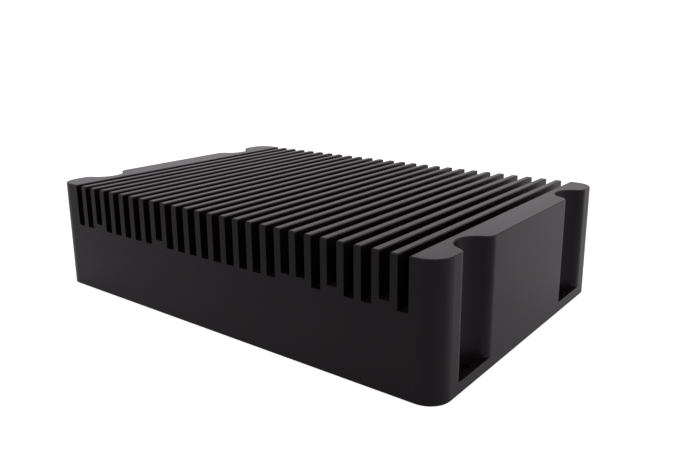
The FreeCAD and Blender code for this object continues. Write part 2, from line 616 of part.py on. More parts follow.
def make_housing():
    """The one-piece finned housing, milled from above, from below and from the rear."""
    body = node(new_body("housing"), "housing")
    outline = new_sketch(body, "housing_outline")
    add_rounded_rectangle(outline, "half_width", "half_depth", "corner_radius")
    pad(body, "housing_block", outline, "overall_height")

    pockets = new_sketch(body, "side_pocket_outlines", lift="overall_height")
    for side in (-1, 1):
        for end in (-1, 1):
            add_pocket_outline(pockets, side, end)
    pocket(body, "side_pockets", pockets, "overall_height - flange_height")

    doc.recompute()
    top = number("overall_height")
    pocketed = body.Tip
    rim = []
    for index, edge in enumerate(pocketed.Shape.Edges, 1):
        box_of_edge = edge.BoundBox
        if abs(box_of_edge.ZMin - top) < SAME and abs(box_of_edge.ZMax - top) < SAME:
            rim.append(f"Edge{index}")
    breaks = body.newObject("PartDesign::Chamfer", "top_edge_break")
    breaks.Base = (pocketed, rim)
    breaks.setExpression("Size", full("edge_break"))
    body.Tip = breaks

    slot = new_sketch(body, "slot_section", "XZ_Plane")
    left = "first_slot"
    right = "first_slot + slot_width"
    floor = "overall_height - groove_depth + groove_step"
    add_loop(slot, (
        (left, floor), (right, floor), (right, "overall_height - edge_break"),
        (f"{right} + edge_break", "overall_height"),
        (f"{right} + edge_break", "overall_height + cut_over"),
        (f"{left} - edge_break", "overall_height + cut_over"),
        (f"{left} - edge_break", "overall_height"),
        (left, "overall_height - edge_break")))
    first = pocket(body, "first_slot_cut", slot)
    row = body.newObject("PartDesign::LinearPattern", "slots")
    row.Originals = [first]
    row.Direction = (slot, ["H_Axis"])
    row.setExpression("Length", full("fin_pitch * (slot_count - 1)"))
    row.setExpression("Occurrences", full("slot_count"))
    body.Tip = row

    deep = new_sketch(body, "deep_slot_sections", "XZ_Plane")
    for index in range(round(number("slot_count"))):
        if not slot_is_shallow(index):
            add_rectangle(deep, f"first_slot + {index} * fin_pitch",
                          "overall_height - groove_depth", "slot_width", "groove_step + cut_over")
    pocket(body, "deep_slots", deep)

    cover_seat = new_sketch(body, "cover_seat_outline")
    add_rounded_rectangle(cover_seat, "cover_half_width", "cover_half_depth", "cavity_corner")
    pocket(body, "cover_seat", cover_seat, "cover_thickness", backwards=True)

    inside = new_sketch(body, "cavity_outline")
    add_rounded_rectangle(inside, "cavity_half_width", "cavity_half_depth", "cavity_corner")
    pocket(body, "cavity", inside, "ceiling", backwards=True)

    bosses = new_sketch(body, "boss_outlines", lift="cover_thickness")
    for x, y in FRONT_BOSSES:
        add_rectangle(bosses, f"{x} - cover_boss_radius", "-cavity_half_depth - cut_over",
                      "2 * cover_boss_radius", "cover_screw_end + cut_over + cover_boss_radius")
    pad(body, "cover_bosses", bosses, "ceiling - cover_thickness + cut_over")

    windows = new_sketch(body, "window_outlines", "XZ_Plane", "-half_depth - cut_over")
    sill = "panel_under + window_lip"
    light = "panel_height - 2 * window_lip"
    left_end = "mullion_x - mullion_width / 2"
    right_end = "mullion_x + mullion_width / 2"
    add_rectangle(windows, "-window_half_width", sill, f"{left_end} + window_half_width", light)
    add_rectangle(windows, right_end, sill, f"window_half_width - ({right_end})", light)
    pocket(body, "windows", windows, "end_wall + 2 * cut_over", backwards=True)

    seat = new_sketch(body, "panel_seat_outline", "XZ_Plane", "-half_depth")
    add_rectangle(seat, "-panel_half_width - cover_gap", "panel_under - cover_gap",
                  "2 * (panel_half_width + cover_gap)", "panel_height + 2 * cover_gap")
    pocket(body, "panel_seat", seat, "panel_thickness", backwards=True)

    if number("socket_relief") > SAME:
        relief = new_sketch(body, "socket_relief_outline", lift="ceiling")
        edge = "usb_width / 2 + socket_headroom"
        add_rectangle(relief, f"usb_first_x - ({edge})", "face_y - usb_depth - socket_headroom",
                      f"usb_second_x - usb_first_x + 2 * ({edge})",
                      "usb_depth + 2 * socket_headroom")
        pocket(body, "socket_reliefs", relief, "socket_relief", backwards=True)

    flange = new_sketch(body, "mount_hole_circles", lift="flange_height")
    for x, y in FLANGE_HOLES:
        add_circle(flange, x, y, "mount_hole_radius")
    pocket(body, "mount_holes", flange, "flange_height")

    cover_taps = new_sketch(body, "cover_tap_circles", lift="cover_thickness")
    for x, y in COVER_HOLES:
        add_circle(cover_taps, x, y, "tap_radius")
    pocket(body, "cover_taps", cover_taps, "cover_screw_length - cover_thickness + tap_spare",
           backwards=True)

    roof_taps = new_sketch(body, "roof_tap_circles", lift="ceiling")
    for x, y in ROOF_HOLES:
        add_circle(roof_taps, x, y, "tap_radius")
    pocket(body, "roof_taps", roof_taps, "roof_tap_depth", backwards=True)

    panel_taps = new_sketch(body, "panel_tap_circles", "XZ_Plane", "-panel_inner_y")
    for x, height in PANEL_HOLES:
        add_circle(panel_taps, x, height, "tap_radius")
    pocket(body, "panel_taps", panel_taps, "panel_screw_length - panel_thickness + tap_spare",
           backwards=True)


# ----------------------------------------------------------------------------- covers

def make_bottom_cover():
    """The flush cover: one milled plate with countersunk holes round its rim."""
    body = new_body("cover_body")
    outline = new_sketch(body, "cover_outline")
    add_rounded_rectangle(outline, "cover_half_width - cover_gap", "cover_half_depth - cover_gap",
                          "cavity_corner - cover_gap")
    for x, y in COVER_HOLES:
        add_circle(outline, x, y, "tap_radius")
    pad(body, "cover_plate", outline, "cover_thickness")
    sinks = []
    for index, (x, y) in enumerate(COVER_HOLES):
        sinks.append(sink(f"cover_sink_{index}", (x, y, "0"), "+z"))
    node(less("cover_with_sinks", body, sinks), "bottom_cover")


def make_cover_screws():
    screws = []
    for index, (x, y) in enumerate(COVER_HOLES):
        screws.append(sunk_screw(f"cover_screw_{index}", (x, y, "0"), "cover_screw_length", "+z"))
    node(group("cover_screw_set", screws), "cover_screws")


# Rectangular cut-outs in the connector plate: place across, width and height.
CUTOUTS = (
    ("terminal_x", "terminal_width", "terminal_height"),
    ("display_x", "display_width", "display_height"),
    ("usb_first_x", "usb_width", "usb_height"),
    ("usb_second_x", "usb_width", "usb_height"),
    ("lan_first_x", "lan_width", "lan_height"),
    ("lan_second_x", "lan_width", "lan_height"),
)
JACK_HOLES = [(f"serial_x + {side} * jack_span / 2", "serial_z") for side in (-1, 1)]


def make_connector_plate():
    """The thin plate in the rear face, with one cut-out for each connector."""
    body = new_body("plate_body")
    outline = new_sketch(body, "plate_outline", "XZ_Plane", "-half_depth")
    add_rectangle(outline, "-panel_half_width", "panel_under", "2 * panel_half_width",
                  "panel_height")
    for x, width, height in CUTOUTS:
        add_rectangle(outline, f"{x} - {width} / 2 - cutout_gap", "board_top - cutout_gap",
                      f"{width} + 2 * cutout_gap", f"{height} + 2 * cutout_gap")
    add_loop(outline, serial_outline("cutout_gap"))
    add_circle(outline, "button_x", "board_top + button_rise", "button_radius + button_play")
    for x in ("led_first_x", "led_second_x"):
        add_circle(outline, x, "board_top + led_rise", "light_pipe_radius + screw_gap")
    for x, height in PANEL_HOLES + JACK_HOLES:
        add_circle(outline, x, height, "tap_radius")
    add_circle(outline, "earth_x", "board_top + earth_rise", "tap_radius")
    pad(body, "plate", outline, "panel_thickness")
    sinks = []
    for index, (x, height) in enumerate(PANEL_HOLES):
        sinks.append(sink(f"plate_sink_{index}", (x, "half_depth", height), "-y"))
    node(less("plate_with_sinks", body, sinks), "connector_plate")


def make_plate_screws():
    screws = []
    for index, (x, height) in enumerate(PANEL_HOLES):
        place = (x, "half_depth", height)
        screws.append(sunk_screw(f"plate_screw_{index}", place, "panel_screw_length", "-y"))
    node(group("plate_screw_set", screws), "connector_plate_screws")


def serial_outline(gap):
    """The D-shaped mouth of the nine-way port, grown all round by a gap, wider side up."""
    top = f"serial_z + serial_mouth_height / 2 + {gap}"
    low = f"serial_z - serial_mouth_height / 2 - {gap}"
    return (
        (f"serial_x - serial_mouth_low / 2 - {gap}", low),
        (f"serial_x + serial_mouth_low / 2 + {gap}", low),
        (f"serial_x + serial_mouth_high / 2 + {gap}", top),
        (f"serial_x - serial_mouth_high / 2 - {gap}", top))


# ----------------------------------------------------------------------------- boards

def make_board(label, left, front, width, depth, holes):
    """A printed circuit board: a drilled rectangle under the board-top plane."""
    body = node(new_body(label), label)
    outline = new_sketch(body, label + "_outline", lift="board_under")
    centre = (f"{left} + ({width}) / 2", f"{front} + ({depth}) / 2")
    add_rounded_rectangle(outline, f"({width}) / 2", f"({depth}) / 2", "board_corner", centre)
    for x, y in holes:
        add_circle(outline, x, y, "tap_radius")
    pad(body, label + "_sheet", outline, "pcb_thickness")


def make_boards():
    make_board("mainboard", "mainboard_hole_x - mainboard_margin", "board_rear - mainboard_depth",
               "mainboard_hole_span + 2 * mainboard_margin", "mainboard_depth", MAINBOARD_HOLES)
    make_board("power_board", "power_board_left", "board_rear - power_board_depth",
               "power_board_width", "power_board_depth", POWER_HOLES)


def make_standoffs(label, holes):
    """Hexagon posts that screw into the roof and take a screw from below."""
    posts = []
    for index, (x, y) in enumerate(holes):
        name = f"{label}_{index}"
        post = hexagon(name + "_hexagon", (x, y, "board_top"), "standoff_radius", "standoff_length")
        thread = rod(name + "_thread", (x, y, "ceiling"), "screw_radius", "standoff_thread")
        bore = rod(name + "_bore", (x, y, "board_top"), "tap_radius",
                   "board_screw_length - pcb_thickness + tap_spare")
        posts.append(less(name, join(name + "_solid", [post, thread]), [bore]))
    node(group(label + "_set", posts), label)


def make_board_screws(label, holes):
    screws = []
    for index, (x, y) in enumerate(holes):
        place = (x, y, "board_under")
        screws.append(pan_screw(f"{label}_{index}", place, "board_screw_length", "+z"))
    node(group(label + "_set", screws), label)


# ----------------------------------------------------------------------------- heat path

def make_processor():
    carrier = middle_box("processor_carrier_box", ("processor_x", "processor_y", "board_top"),
                         ("processor_size", "processor_size", "processor_carrier"))
    lid = middle_box("processor_lid_box",
                     ("processor_x", "processor_y", "board_top + processor_carrier"),
                     ("processor_lid", "processor_lid", "processor_lid_height"))
    node(join("processor_solid", [carrier, lid]), "processor")


def make_heat_block():
    """The solid block between the processor and the roof, bolted up from below."""
    under = "processor_top + pad_thickness"
    size = ("heat_block_width", "heat_block_depth", f"ceiling - ({under})")
    base = middle_box("heat_block_box", ("processor_x", "processor_y", under), size)
    tools = []
    screws = []
    for index, (x, y) in enumerate(HEAT_BLOCK_HOLES):
        tools.append(rod(f"heat_block_bore_{index}", (x, y, under), "tap_radius", size[2]))
        tools.append(rod(f"heat_block_sink_{index}", (x, y, under),
                         "screw_head_radius + 2 * screw_gap", "heat_screw_sunk"))
        place = (x, y, f"{under} + heat_screw_sunk")
        length = f"ceiling - ({under}) - heat_screw_sunk + standoff_thread"
        screws.append(pan_screw(f"heat_block_screw_{index}", place, length, "+z"))
    node(less("heat_block_bored", base, tools), "heat_block")
    node(group("heat_block_screw_set", screws), "heat_block_screws")
    node(middle_box("processor_pad_box", ("processor_x", "processor_y", "processor_top"),
                    ("processor_lid", "processor_lid", "pad_thickness")), "processor_pad")


def make_regulators():
    """The power stages, their pad and the small block that cools them."""
    pad_under = "board_top + regulator_height"
    under = f"{pad_under} + pad_thickness"
    size = ("regulator_block_width", "regulator_block_depth", f"ceiling - ({under})")
    base = middle_box("regulator_block_box", ("regulator_x", "regulator_y", under), size)
    place = ("regulator_x", "regulator_y", under)
    bore = rod("regulator_block_bore", place, "tap_radius", size[2])
    head = rod("regulator_block_sink", place, "screw_head_radius + 2 * screw_gap",
               "heat_screw_sunk")
    node(less("regulator_block_bored", base, [bore, head]), "regulator_block")
    place = ("regulator_x", "regulator_y", f"{under} + heat_screw_sunk")
    length = f"ceiling - ({under}) - heat_screw_sunk + standoff_thread"
    node(pan_screw("regulator_block_screw_solid", place, length, "+z"), "regulator_block_screw")
    packages = []
    pads = []
    for index in (-3, -2, -1, 1, 2, 3):
        x = f"regulator_x + {index} * regulator_pitch"
        packages.append(middle_box(f"regulator_{index}", (x, "regulator_y", "board_top"),
                                   ("regulator_size", "regulator_size", "regulator_height")))
    for side in (-1, 1):
        x = f"regulator_x + {side} * 2 * regulator_pitch"
        pads.append(middle_box(f"regulator_pad_{side}", (x, "regulator_y", pad_under),
                               ("2 * regulator_pitch + regulator_size",
                                "regulator_size + regulator_pad_spare", "pad_thickness")))
    node(group("regulator_set", packages), "power_regulators")
    node(group("regulator_pad_set", pads), "regulator_pads")


def make_chokes_and_capacitors():
    chokes = []
    cans = []
    count = round(number("supply_count"))
    for index in range(count):
        y = f"processor_y + {index - (count - 1) / 2} * choke_pitch"
        chokes.append(middle_box(f"choke_{index}", ("choke_x", y, "board_top"),
                                 ("choke_size", "choke_size", "choke_height")))
        cans.append(rod(f"capacitor_{index}", ("capacitor_x", y, "board_top"),
                        "capacitor_radius", "capacitor_height"))
    node(group("choke_set", chokes), "power_chokes")
    node(group("capacitor_set", cans), "capacitors")
    x = "power_hole_x + power_hole_span / 2"
    front = "board_rear - power_board_depth"
    node(middle_box("input_coil", (x, f"{front} + input_choke_y", "board_top"),
                    ("input_choke_size", "input_choke_size", "input_choke_height")),
         "input_choke")
    node(rod("input_can", (x, f"{front} + input_can_y", "board_top"), "input_can_radius",
             "input_can_height"), "input_capacitor")


# ----------------------------------------------------------------------------- memory, storage

def make_memory():
    """The memory module in its low socket, under the mainboard."""
    lift = "board_under - memory_hang"
    left = "memory_x + memory_socket_end"
    card_front = "memory_y + memory_socket_depth - memory_bite"
    card_lift = f"{lift} + memory_card_lift"
    socket = box("memory_socket_box", ("memory_x", "memory_y", lift),
                 ("memory_width + 2 * memory_socket_end", "memory_socket_depth", "memory_hang"))
    slot = box("memory_socket_slot",
               (f"{left} - screw_gap", card_front, f"{card_lift} - screw_gap"),
               ("memory_width + 2 * screw_gap", "memory_bite + cut_over",
                "memory_card + 2 * screw_gap"))
    node(less("memory_socket_solid", socket, [slot]), "memory_socket")
    card = box("memory_card_box", (left, f"{card_front} + screw_gap", card_lift),
               ("memory_width", "memory_depth", "memory_card"))
    chips = []
    y = "memory_y + memory_socket_depth + memory_chip_in"
    for index in range(round(number("memory_chip_count"))):
        x = f"{left} + memory_width * (2 * {index} + 1) / (2 * memory_chip_count)"
        chips.append(middle_box(f"memory_chip_{index}", (x, y, f"{card_lift} + memory_card"),
                                ("memory_chip_width", "memory_chip_depth", "memory_chip_height")))
    node(join("memory_module_solid", [card] + chips), "memory_module")


def make_storage():
    """The slim storage module, its socket, its nut and its screw, under the mainboard."""
    lift = "board_under - storage_hang"
    socket = box("storage_socket_box",
                 ("storage_x - storage_socket_back", "storage_y - storage_socket_end",
                  f"{lift} - storage_socket_floor"),
                 ("storage_socket_length", "storage_width + 2 * storage_socket_end",
                  "storage_hang + storage_socket_floor"))
    slot = box("storage_socket_slot",
               ("storage_x - screw_gap", "storage_y - screw_gap", f"{lift} - screw_gap"),
               ("storage_bite", "storage_width + 2 * screw_gap", "memory_card + 2 * screw_gap"))
    node(less("storage_socket_solid", socket, [slot]), "storage_socket")
    card = box("storage_card_box", ("storage_x", "storage_y", lift),
               ("storage_length", "storage_width", "memory_card"))
    middle = "storage_y + storage_width / 2"
    end = "storage_x + storage_length"
    notch = rod("storage_notch", (end, middle, f"{lift} - cut_over"), "tap_radius",
                "memory_card + 2 * cut_over")
    chips = []
    for x in ("storage_chip_first", "storage_chip_second"):
        chips.append(middle_box(f"{x}_box", (f"storage_x + {x}", middle, f"{lift} + memory_card"),
                                ("storage_chip_length", "storage_chip_width",
                                 "storage_chip_height")))
    solid = join("storage_module_solid", [card] + chips)
    node(less("storage_module_notched", solid, [notch]), "storage_module")
    place = (end, middle, f"{lift} + memory_card")
    post = rod("storage_nut_post", place, "screw_head_radius", "storage_hang - memory_card")
    bore = rod("storage_nut_bore", place, "tap_radius", "storage_hang - memory_card")
    node(less("storage_nut_solid", post, [bore]), "storage_nut")
    screw = pan_screw("storage_screw_solid", (end, middle, lift),
                      "storage_hang - storage_screw_short", "+z")
    node(screw, "storage_screw")


def make_battery():
    """The clock's coin cell in its holder: a ring wall with a floor."""
    centre = ("battery_x", "battery_y", "board_top")
    floor = ("battery_x", "battery_y", "board_top + holder_floor")
    outer = rod("battery_holder_outside", centre, "battery_radius + holder_wall",
                "holder_floor + battery_height - holder_short")
    hollow = rod("battery_holder_hollow", floor, "battery_radius + holder_gap", "battery_height")
    gate = middle_box("battery_holder_gate",
                      ("battery_x", "battery_y - battery_radius", "board_top + holder_floor"),
                      ("holder_gate_width", "holder_gate_depth", "battery_height"))
    node(less("battery_holder_solid", outer, [hollow, gate]), "battery_holder")
    node(rod("battery_cell", floor, "battery_radius", "battery_height"), "clock_battery")


def make_board_link():
    """Socket on the mainboard, plug on the power board: they mate as the boards go in."""
    seam = "mainboard_hole_x - mainboard_margin - link_overhang"
    front = "link_y + link_wall"
    low = "board_top + link_wall"
    socket = box("link_socket_box", (seam, "link_y", "board_top"),
                 ("link_body", "link_length", "link_height"))
    mouth = box("link_socket_mouth", (seam, f"{front} - screw_gap", f"{low} - screw_gap"),
                ("link_mouth", "link_length - 2 * link_wall + 2 * screw_gap",
                 "link_height - 2 * link_wall + 2 * screw_gap"))
    node(less("link_socket_solid", socket, [mouth]), "board_link_socket")
    back = box("link_plug_box", (f"{seam} - link_body", "link_y", "board_top"),
               ("link_body", "link_length", "link_height"))
    tongue = box("link_plug_tongue", (seam, front, low),
                 ("link_tongue", "link_length - 2 * link_wall", "link_height - 2 * link_wall"))
    node(join("link_plug_solid", [back, tongue]), "board_link_plug")


# ----------------------------------------------------------------------------- rear connectors

def socket_body(name, x, width, height, depth):
    """A connector's outer box, standing on the board with its face proud of the plate."""
    return box(name, (f"{x} - {width} / 2", f"face_y - {depth}", "board_top"),
               (width, depth, height))


def make_usb(label, x):
    """A double serial-bus socket: two mouths, each with its contact tongue."""
    base = socket_body(label + "_shell", x, "usb_width", "usb_height", "usb_depth")
    mouths = []
    tongues = []
    left = f"{x} - usb_mouth_width / 2"
    back = "face_y - mouth_depth"
    for level in range(2):
        low = f"board_top + usb_mouth_rise + {level} * usb_mouth_pitch"
        tongue_low = f"{low} + usb_mouth_height - usb_tongue - usb_tongue_inset"
        mouths.append(box(f"{label}_mouth_{level}", (left, back, low),
                          ("usb_mouth_width", "mouth_depth + cut_over", "usb_mouth_height")))
        tongues.append(box(f"{label}_tongue_{level}",
                           (f"{left} + usb_tongue_inset", back, tongue_low),
                           ("usb_mouth_width - 2 * usb_tongue_inset",
                            "mouth_depth - tongue_short", "usb_tongue")))
    node(join(label + "_solid", [less(label + "_opened", base, mouths)] + tongues), label)


def make_lan(label, x):
    """A network jack: a stepped mouth, with the way for the plug's latch below."""
    base = socket_body(label + "_shell", x, "lan_width", "lan_height", "lan_depth")
    low = "board_top + lan_mouth_rise"
    mouth = box(label + "_mouth", (f"{x} - lan_mouth_width / 2", "face_y - mouth_depth", low),
                ("lan_mouth_width", "mouth_depth + cut_over", "lan_mouth_height"))
    key = box(label + "_key",
              (f"{x} - lan_key_width / 2", "face_y - mouth_depth", f"{low} - lan_key_height"),
              ("lan_key_width", "mouth_depth + cut_over", "lan_key_height + cut_over"))
    node(less(label + "_solid", base, [mouth, key]), label)


def make_display():
    """The display socket: a thin shell round one contact tongue."""
    base = socket_body("display_shell", "display_x", "display_width", "display_height",
                       "display_depth")
    back = "face_y - display_depth + display_back"
    mouth = box("display_mouth",
                ("display_x - display_width / 2 + display_wall", back,
                 "board_top + display_wall"),
                ("display_width - 2 * display_wall", "display_depth",
                 "display_height - 2 * display_wall"))
    tongue = box("display_tongue_box",
                 ("display_x - display_width / 2 + display_tongue_inset", back,
                  "board_top + (display_height - display_tongue) / 2"),
                 ("display_width - 2 * display_tongue_inset",
                  "display_depth - display_back - tongue_short", "display_tongue"))
    node(join("display_solid", [less("display_opened", base, [mouth]), tongue]), "display_socket")


def make_terminal():
    """The pluggable three-way power terminal: an open box with three pins."""
    base = socket_body("terminal_shell", "terminal_x", "terminal_width", "terminal_height",
                       "terminal_depth")
    back = "face_y - terminal_depth + terminal_back"
    mouth = box("terminal_mouth",
                ("terminal_x - terminal_width / 2 + terminal_side", back,
                 "board_top + terminal_lid"),
                ("terminal_width - 2 * terminal_side", "terminal_depth",
                 "terminal_height - 2 * terminal_lid"))
    pins = []
    for index in (-1, 0, 1):
        pins.append(box(f"terminal_pin_{index}",
                        (f"terminal_x + {index} * terminal_pitch - terminal_pin / 2", back,
                         "board_top + (terminal_height - terminal_pin) / 2"),
                        ("terminal_pin", "terminal_depth - terminal_back - terminal_pin_short",
                         "terminal_pin")))
    node(join("terminal_solid", [less("terminal_opened", base, [mouth])] + pins),
         "power_terminal")


def make_serial():
    """The nine-way port: flange behind the plate, shell through it, body on the board."""
    flange = box("serial_flange_box",
                 ("serial_x - serial_flange_width / 2", "panel_inner_y - serial_flange",
                  "serial_z - serial_flange_height / 2"),
                 ("serial_flange_width", "serial_flange", "serial_flange_height"))
    rear = box("serial_rear_box",
               ("serial_x - serial_mouth_high / 2 - serial_body_side",
                "panel_inner_y - serial_flange - serial_body_depth", "board_top"),
               ("serial_mouth_high + 2 * serial_body_side", "serial_body_depth",
                "serial_rise + serial_body_above"))
    body = new_body("serial_shell_body")
    outside = new_sketch(body, "serial_outside", "XZ_Plane", "-panel_inner_y")
    add_loop(outside, serial_outline("0"))
    pad(body, "serial_shell_solid", outside, "serial_shell_proud", backwards=True)
    inside = new_sketch(body, "serial_inside", "XZ_Plane", "-panel_inner_y - serial_shell_proud")
    add_loop(inside, serial_outline("-serial_shell_wall"))
    pocket(body, "serial_shell_mouth", inside, "serial_shell_proud - serial_floor",
           backwards=True)
    pins = []
    for row, count in ((1, 5), (-1, 4)):
        for index in range(count):
            x = f"serial_x + {2 * index - count + 1} * serial_pin_pitch / 2"
            z = f"serial_z + {row} * serial_row_pitch / 2"
            pins.append(rod(f"serial_pin_{row}_{index}", (x, "panel_inner_y", z),
                            "serial_pin_radius", "serial_shell_proud - serial_pin_short", "+y"))
    solid = join("serial_solid", [flange, rear, body] + pins)
    bores = []
    for index, (x, height) in enumerate(JACK_HOLES):
        bores.append(rod(f"serial_bore_{index}", (x, "panel_inner_y + cut_over", height),
                         "tap_radius", "serial_flange + 2 * cut_over", "-y"))
    node(less("serial_drilled", solid, bores), "serial_port")


def make_jack_screws():
    """The two hexagon posts beside the serial port, each tapped for a plug's screw."""
    screws = []
    for index, (x, height) in enumerate(JACK_HOLES):
        place = (x, "half_depth", height)
        head = hexagon(f"jack_head_{index}", place, "jack_screw_radius", "jack_screw_height",
                       "+y")
        thread = rod(f"jack_thread_{index}", place, "screw_radius",
                     "panel_thickness + serial_flange + jack_thread_spare", "-y")
        bore = rod(f"jack_bore_{index}", (x, "half_depth + jack_screw_height", height),
                   "jack_bore_radius", "jack_bore_depth", "-y")
        screws.append(less(f"jack_screw_{index}", join(f"jack_solid_{index}", [head, thread]),
                           [bore]))
    node(group("jack_screw_set", screws), "serial_jack_screws")


# ----------------------------------------------------------------------------- button, lights

def make_button():
    """The power button: a cap kept by its rim behind the plate, over a switch on the board."""
    z = "board_top + button_rise"
    front = "half_depth + button_proud"
    rim_face = "panel_inner_y - button_play"
    cap = rod("button_cap", ("button_x", front, z), "button_radius", f"{front} - ({rim_face})",
              "-y")
    rim = rod("button_rim_disc", ("button_x", rim_face, z), "button_radius + button_rim",
              "button_rim_thick", "-y")
    stem = rod("button_stem_rod", ("button_x", rim_face, z), "button_radius / 2",
               "button_stem", "-y")
    node(join("button_solid", [cap, rim, stem]), "power_button")
    plunger_face = f"{rim_face} - button_stem"
    node(rod("switch_plunger_rod", ("button_x", plunger_face, z), "plunger_radius",
             "plunger_length", "-y"), "switch_plunger")
    switch_face = f"{plunger_face} - button_travel - switch_gap"
    base = box("switch_box",
               ("button_x - switch_size / 2", f"{switch_face} - switch_size", "board_top"),
               ("switch_size", "switch_size", "button_rise + switch_above"))
    bore = rod("switch_bore", ("button_x", f"{switch_face} + cut_over", z),
               "plunger_radius + screw_gap", "plunger_length + switch_bore_spare", "-y")
    node(less("switch_solid", base, [bore]), "power_switch")


def make_lights():
    """Two light pipes through the plate, each with its lamp behind it on the board."""
    pipes = []
    lamps = []
    face = "half_depth + light_pipe_proud"
    for index, x in enumerate(("led_first_x", "led_second_x")):
        pipes.append(rod(f"light_pipe_{index}", (x, face, "board_top + led_rise"),
                         "light_pipe_radius", "light_pipe_length", "-y"))
        middle = f"{face} - light_pipe_length - lamp_depth / 2"
        lamps.append(middle_box(f"lamp_{index}", (x, middle, "board_top"),
                                ("lamp_width", "lamp_depth", "led_rise + lamp_above")))
    node(group("light_pipe_set", pipes), "status_light_pipes")
    node(group("lamp_set", lamps), "status_lamps")


def make_earth_screw():
    """The earth screw and its washer on the connector plate."""
    z = "board_top + earth_rise"
    washer = rod("earth_washer_disc", ("earth_x", "half_depth", z), "washer_radius",
                 "washer_thickness", "+y")
    hole = rod("earth_washer_hole", ("earth_x", "half_depth", z), "tap_radius",
               "washer_thickness", "+y")
    node(less("earth_washer_ring", washer, [hole]), "earth_washer")
    place = ("earth_x", "half_depth + washer_thickness", z)
    node(pan_screw("earth_screw_solid", place,
                   "panel_thickness + washer_thickness + earth_thread", "-y"), "earth_screw")


# ----------------------------------------------------------------------------- the whole

make_housing()
make_bottom_cover()
make_cover_screws()
make_connector_plate()
make_plate_screws()
make_boards()
make_standoffs("mainboard_standoffs", MAINBOARD_HOLES)
make_standoffs("power_board_standoffs", POWER_HOLES)
make_board_screws("mainboard_screws", MAINBOARD_HOLES)
make_board_screws("power_board_screws", POWER_HOLES)
make_processor()
make_heat_block()
make_regulators()
make_chokes_and_capacitors()
make_memory()
make_storage()
make_battery()
make_board_link()
make_usb("usb_socket_left", "usb_first_x")
make_usb("usb_socket_right", "usb_second_x")
make_lan("network_jack_left", "lan_first_x")
make_lan("network_jack_right", "lan_second_x")
make_display()
make_terminal()
make_serial()
make_jack_screws()
make_button()
make_lights()
make_earth_screw()
doc.recompute()

failed = [item.Name for item in doc.Objects if "Invalid" in item.State or "Error" in item.State]
if failed:
    raise RuntimeError("not rebuilt: " + ", ".join(failed))
for item in nodes:
    if item.Shape.isNull() or not item.Shape.isValid():
        raise RuntimeError("bad shape: " + item.Label)

os.makedirs("parts", exist_ok=True)
for item in nodes:
    item.Shape.exportStep(f"parts/{item.Label}.step")
print(len(nodes), "sub-parts")
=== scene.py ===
import math

import bmesh
import bpy
from mathutils import Matrix, Vector


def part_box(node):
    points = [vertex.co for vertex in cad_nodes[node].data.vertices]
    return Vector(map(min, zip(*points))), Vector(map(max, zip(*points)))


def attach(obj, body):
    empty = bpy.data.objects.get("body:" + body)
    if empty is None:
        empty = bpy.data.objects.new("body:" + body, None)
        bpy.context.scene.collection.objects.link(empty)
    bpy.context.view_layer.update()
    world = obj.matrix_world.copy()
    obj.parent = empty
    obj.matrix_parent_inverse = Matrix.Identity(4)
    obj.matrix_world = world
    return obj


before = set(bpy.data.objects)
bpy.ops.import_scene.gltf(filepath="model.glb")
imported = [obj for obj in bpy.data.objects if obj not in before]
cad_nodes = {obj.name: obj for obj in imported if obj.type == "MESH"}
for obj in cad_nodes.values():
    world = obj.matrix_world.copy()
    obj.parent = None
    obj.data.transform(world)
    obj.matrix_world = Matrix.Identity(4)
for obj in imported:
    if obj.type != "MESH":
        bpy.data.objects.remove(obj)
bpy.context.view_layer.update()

# A fanless computer in one black anodised, finned housing. Every CAD piece gets its finish
# here, and the sockets, pins, lenses and screws on its rear face get their fine detail.
# Metres; +Z up, the connector face towards +Y.

MM = 0.001
BOARD_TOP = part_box("mainboard")[1].z
PLATE_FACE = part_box("connector_plate")[1].y


# ------------------------------------------------------------------ shader maths

class Value:
    """One output socket; arithmetic on it adds Math nodes."""

    def __init__(self, nodes, socket):
        self.nodes = nodes
        self.socket = socket

    def math(self, operation, *ends):
        return self.nodes.add("ShaderNodeMath", {"operation": operation}, dict(enumerate(ends)))

    def __add__(self, other):
        return self.math("ADD", self, other)

    def __radd__(self, other):
        return self.math("ADD", other, self)

    def __sub__(self, other):
        return self.math("SUBTRACT", self, other)

    def __rsub__(self, other):
        return self.math("SUBTRACT", other, self)

    def __mul__(self, other):
        return self.math("MULTIPLY", self, other)

    def __rmul__(self, other):
        return self.math("MULTIPLY", other, self)

    def __or__(self, other):
        """The larger of the two, so that either mask counts."""
        return self.math("MAXIMUM", self, other)


class Nodes:
    """A node tree, and the one way that nodes are added to it."""

    def __init__(self, tree):
        self.tree = tree

    def add(self, kind, settings=None, inputs=None, output=0):
        """A node of a kind: its settings first, then its sockets; gives one of its outputs."""
        made = self.tree.nodes.new(kind)
        for key, value in (settings or {}).items():
            setattr(made, key, value)
        for key, value in (inputs or {}).items():
            self.put(made.inputs[key], value)
        return Value(self, made.outputs[output])

    def put(self, socket, value):
        """A link where the value comes from nodes, or else the plain number or colour."""
        if isinstance(value, Value):
            self.tree.links.new(value.socket, socket)
        else:
            socket.default_value = value

    def mix(self, share, first, second):
        """A colour between two colours, by share."""
        return self.add("ShaderNodeMix", {"data_type": "RGBA"},
                        {0: share, 6: (*first, 1), 7: (*second, 1)}, 2)

    def rays(self, kind):
        """1 for rays of a kind, such as Is Camera Ray."""
        return self.add("ShaderNodeLightPath", output=kind)


# ------------------------------------------------------------------ finishes

finishes = {}

NOISE_LOW = 0.3
NOISE_HIGH = 0.7
EASED_EDGE = 0.12 * MM
BEVEL_SAMPLES = 6


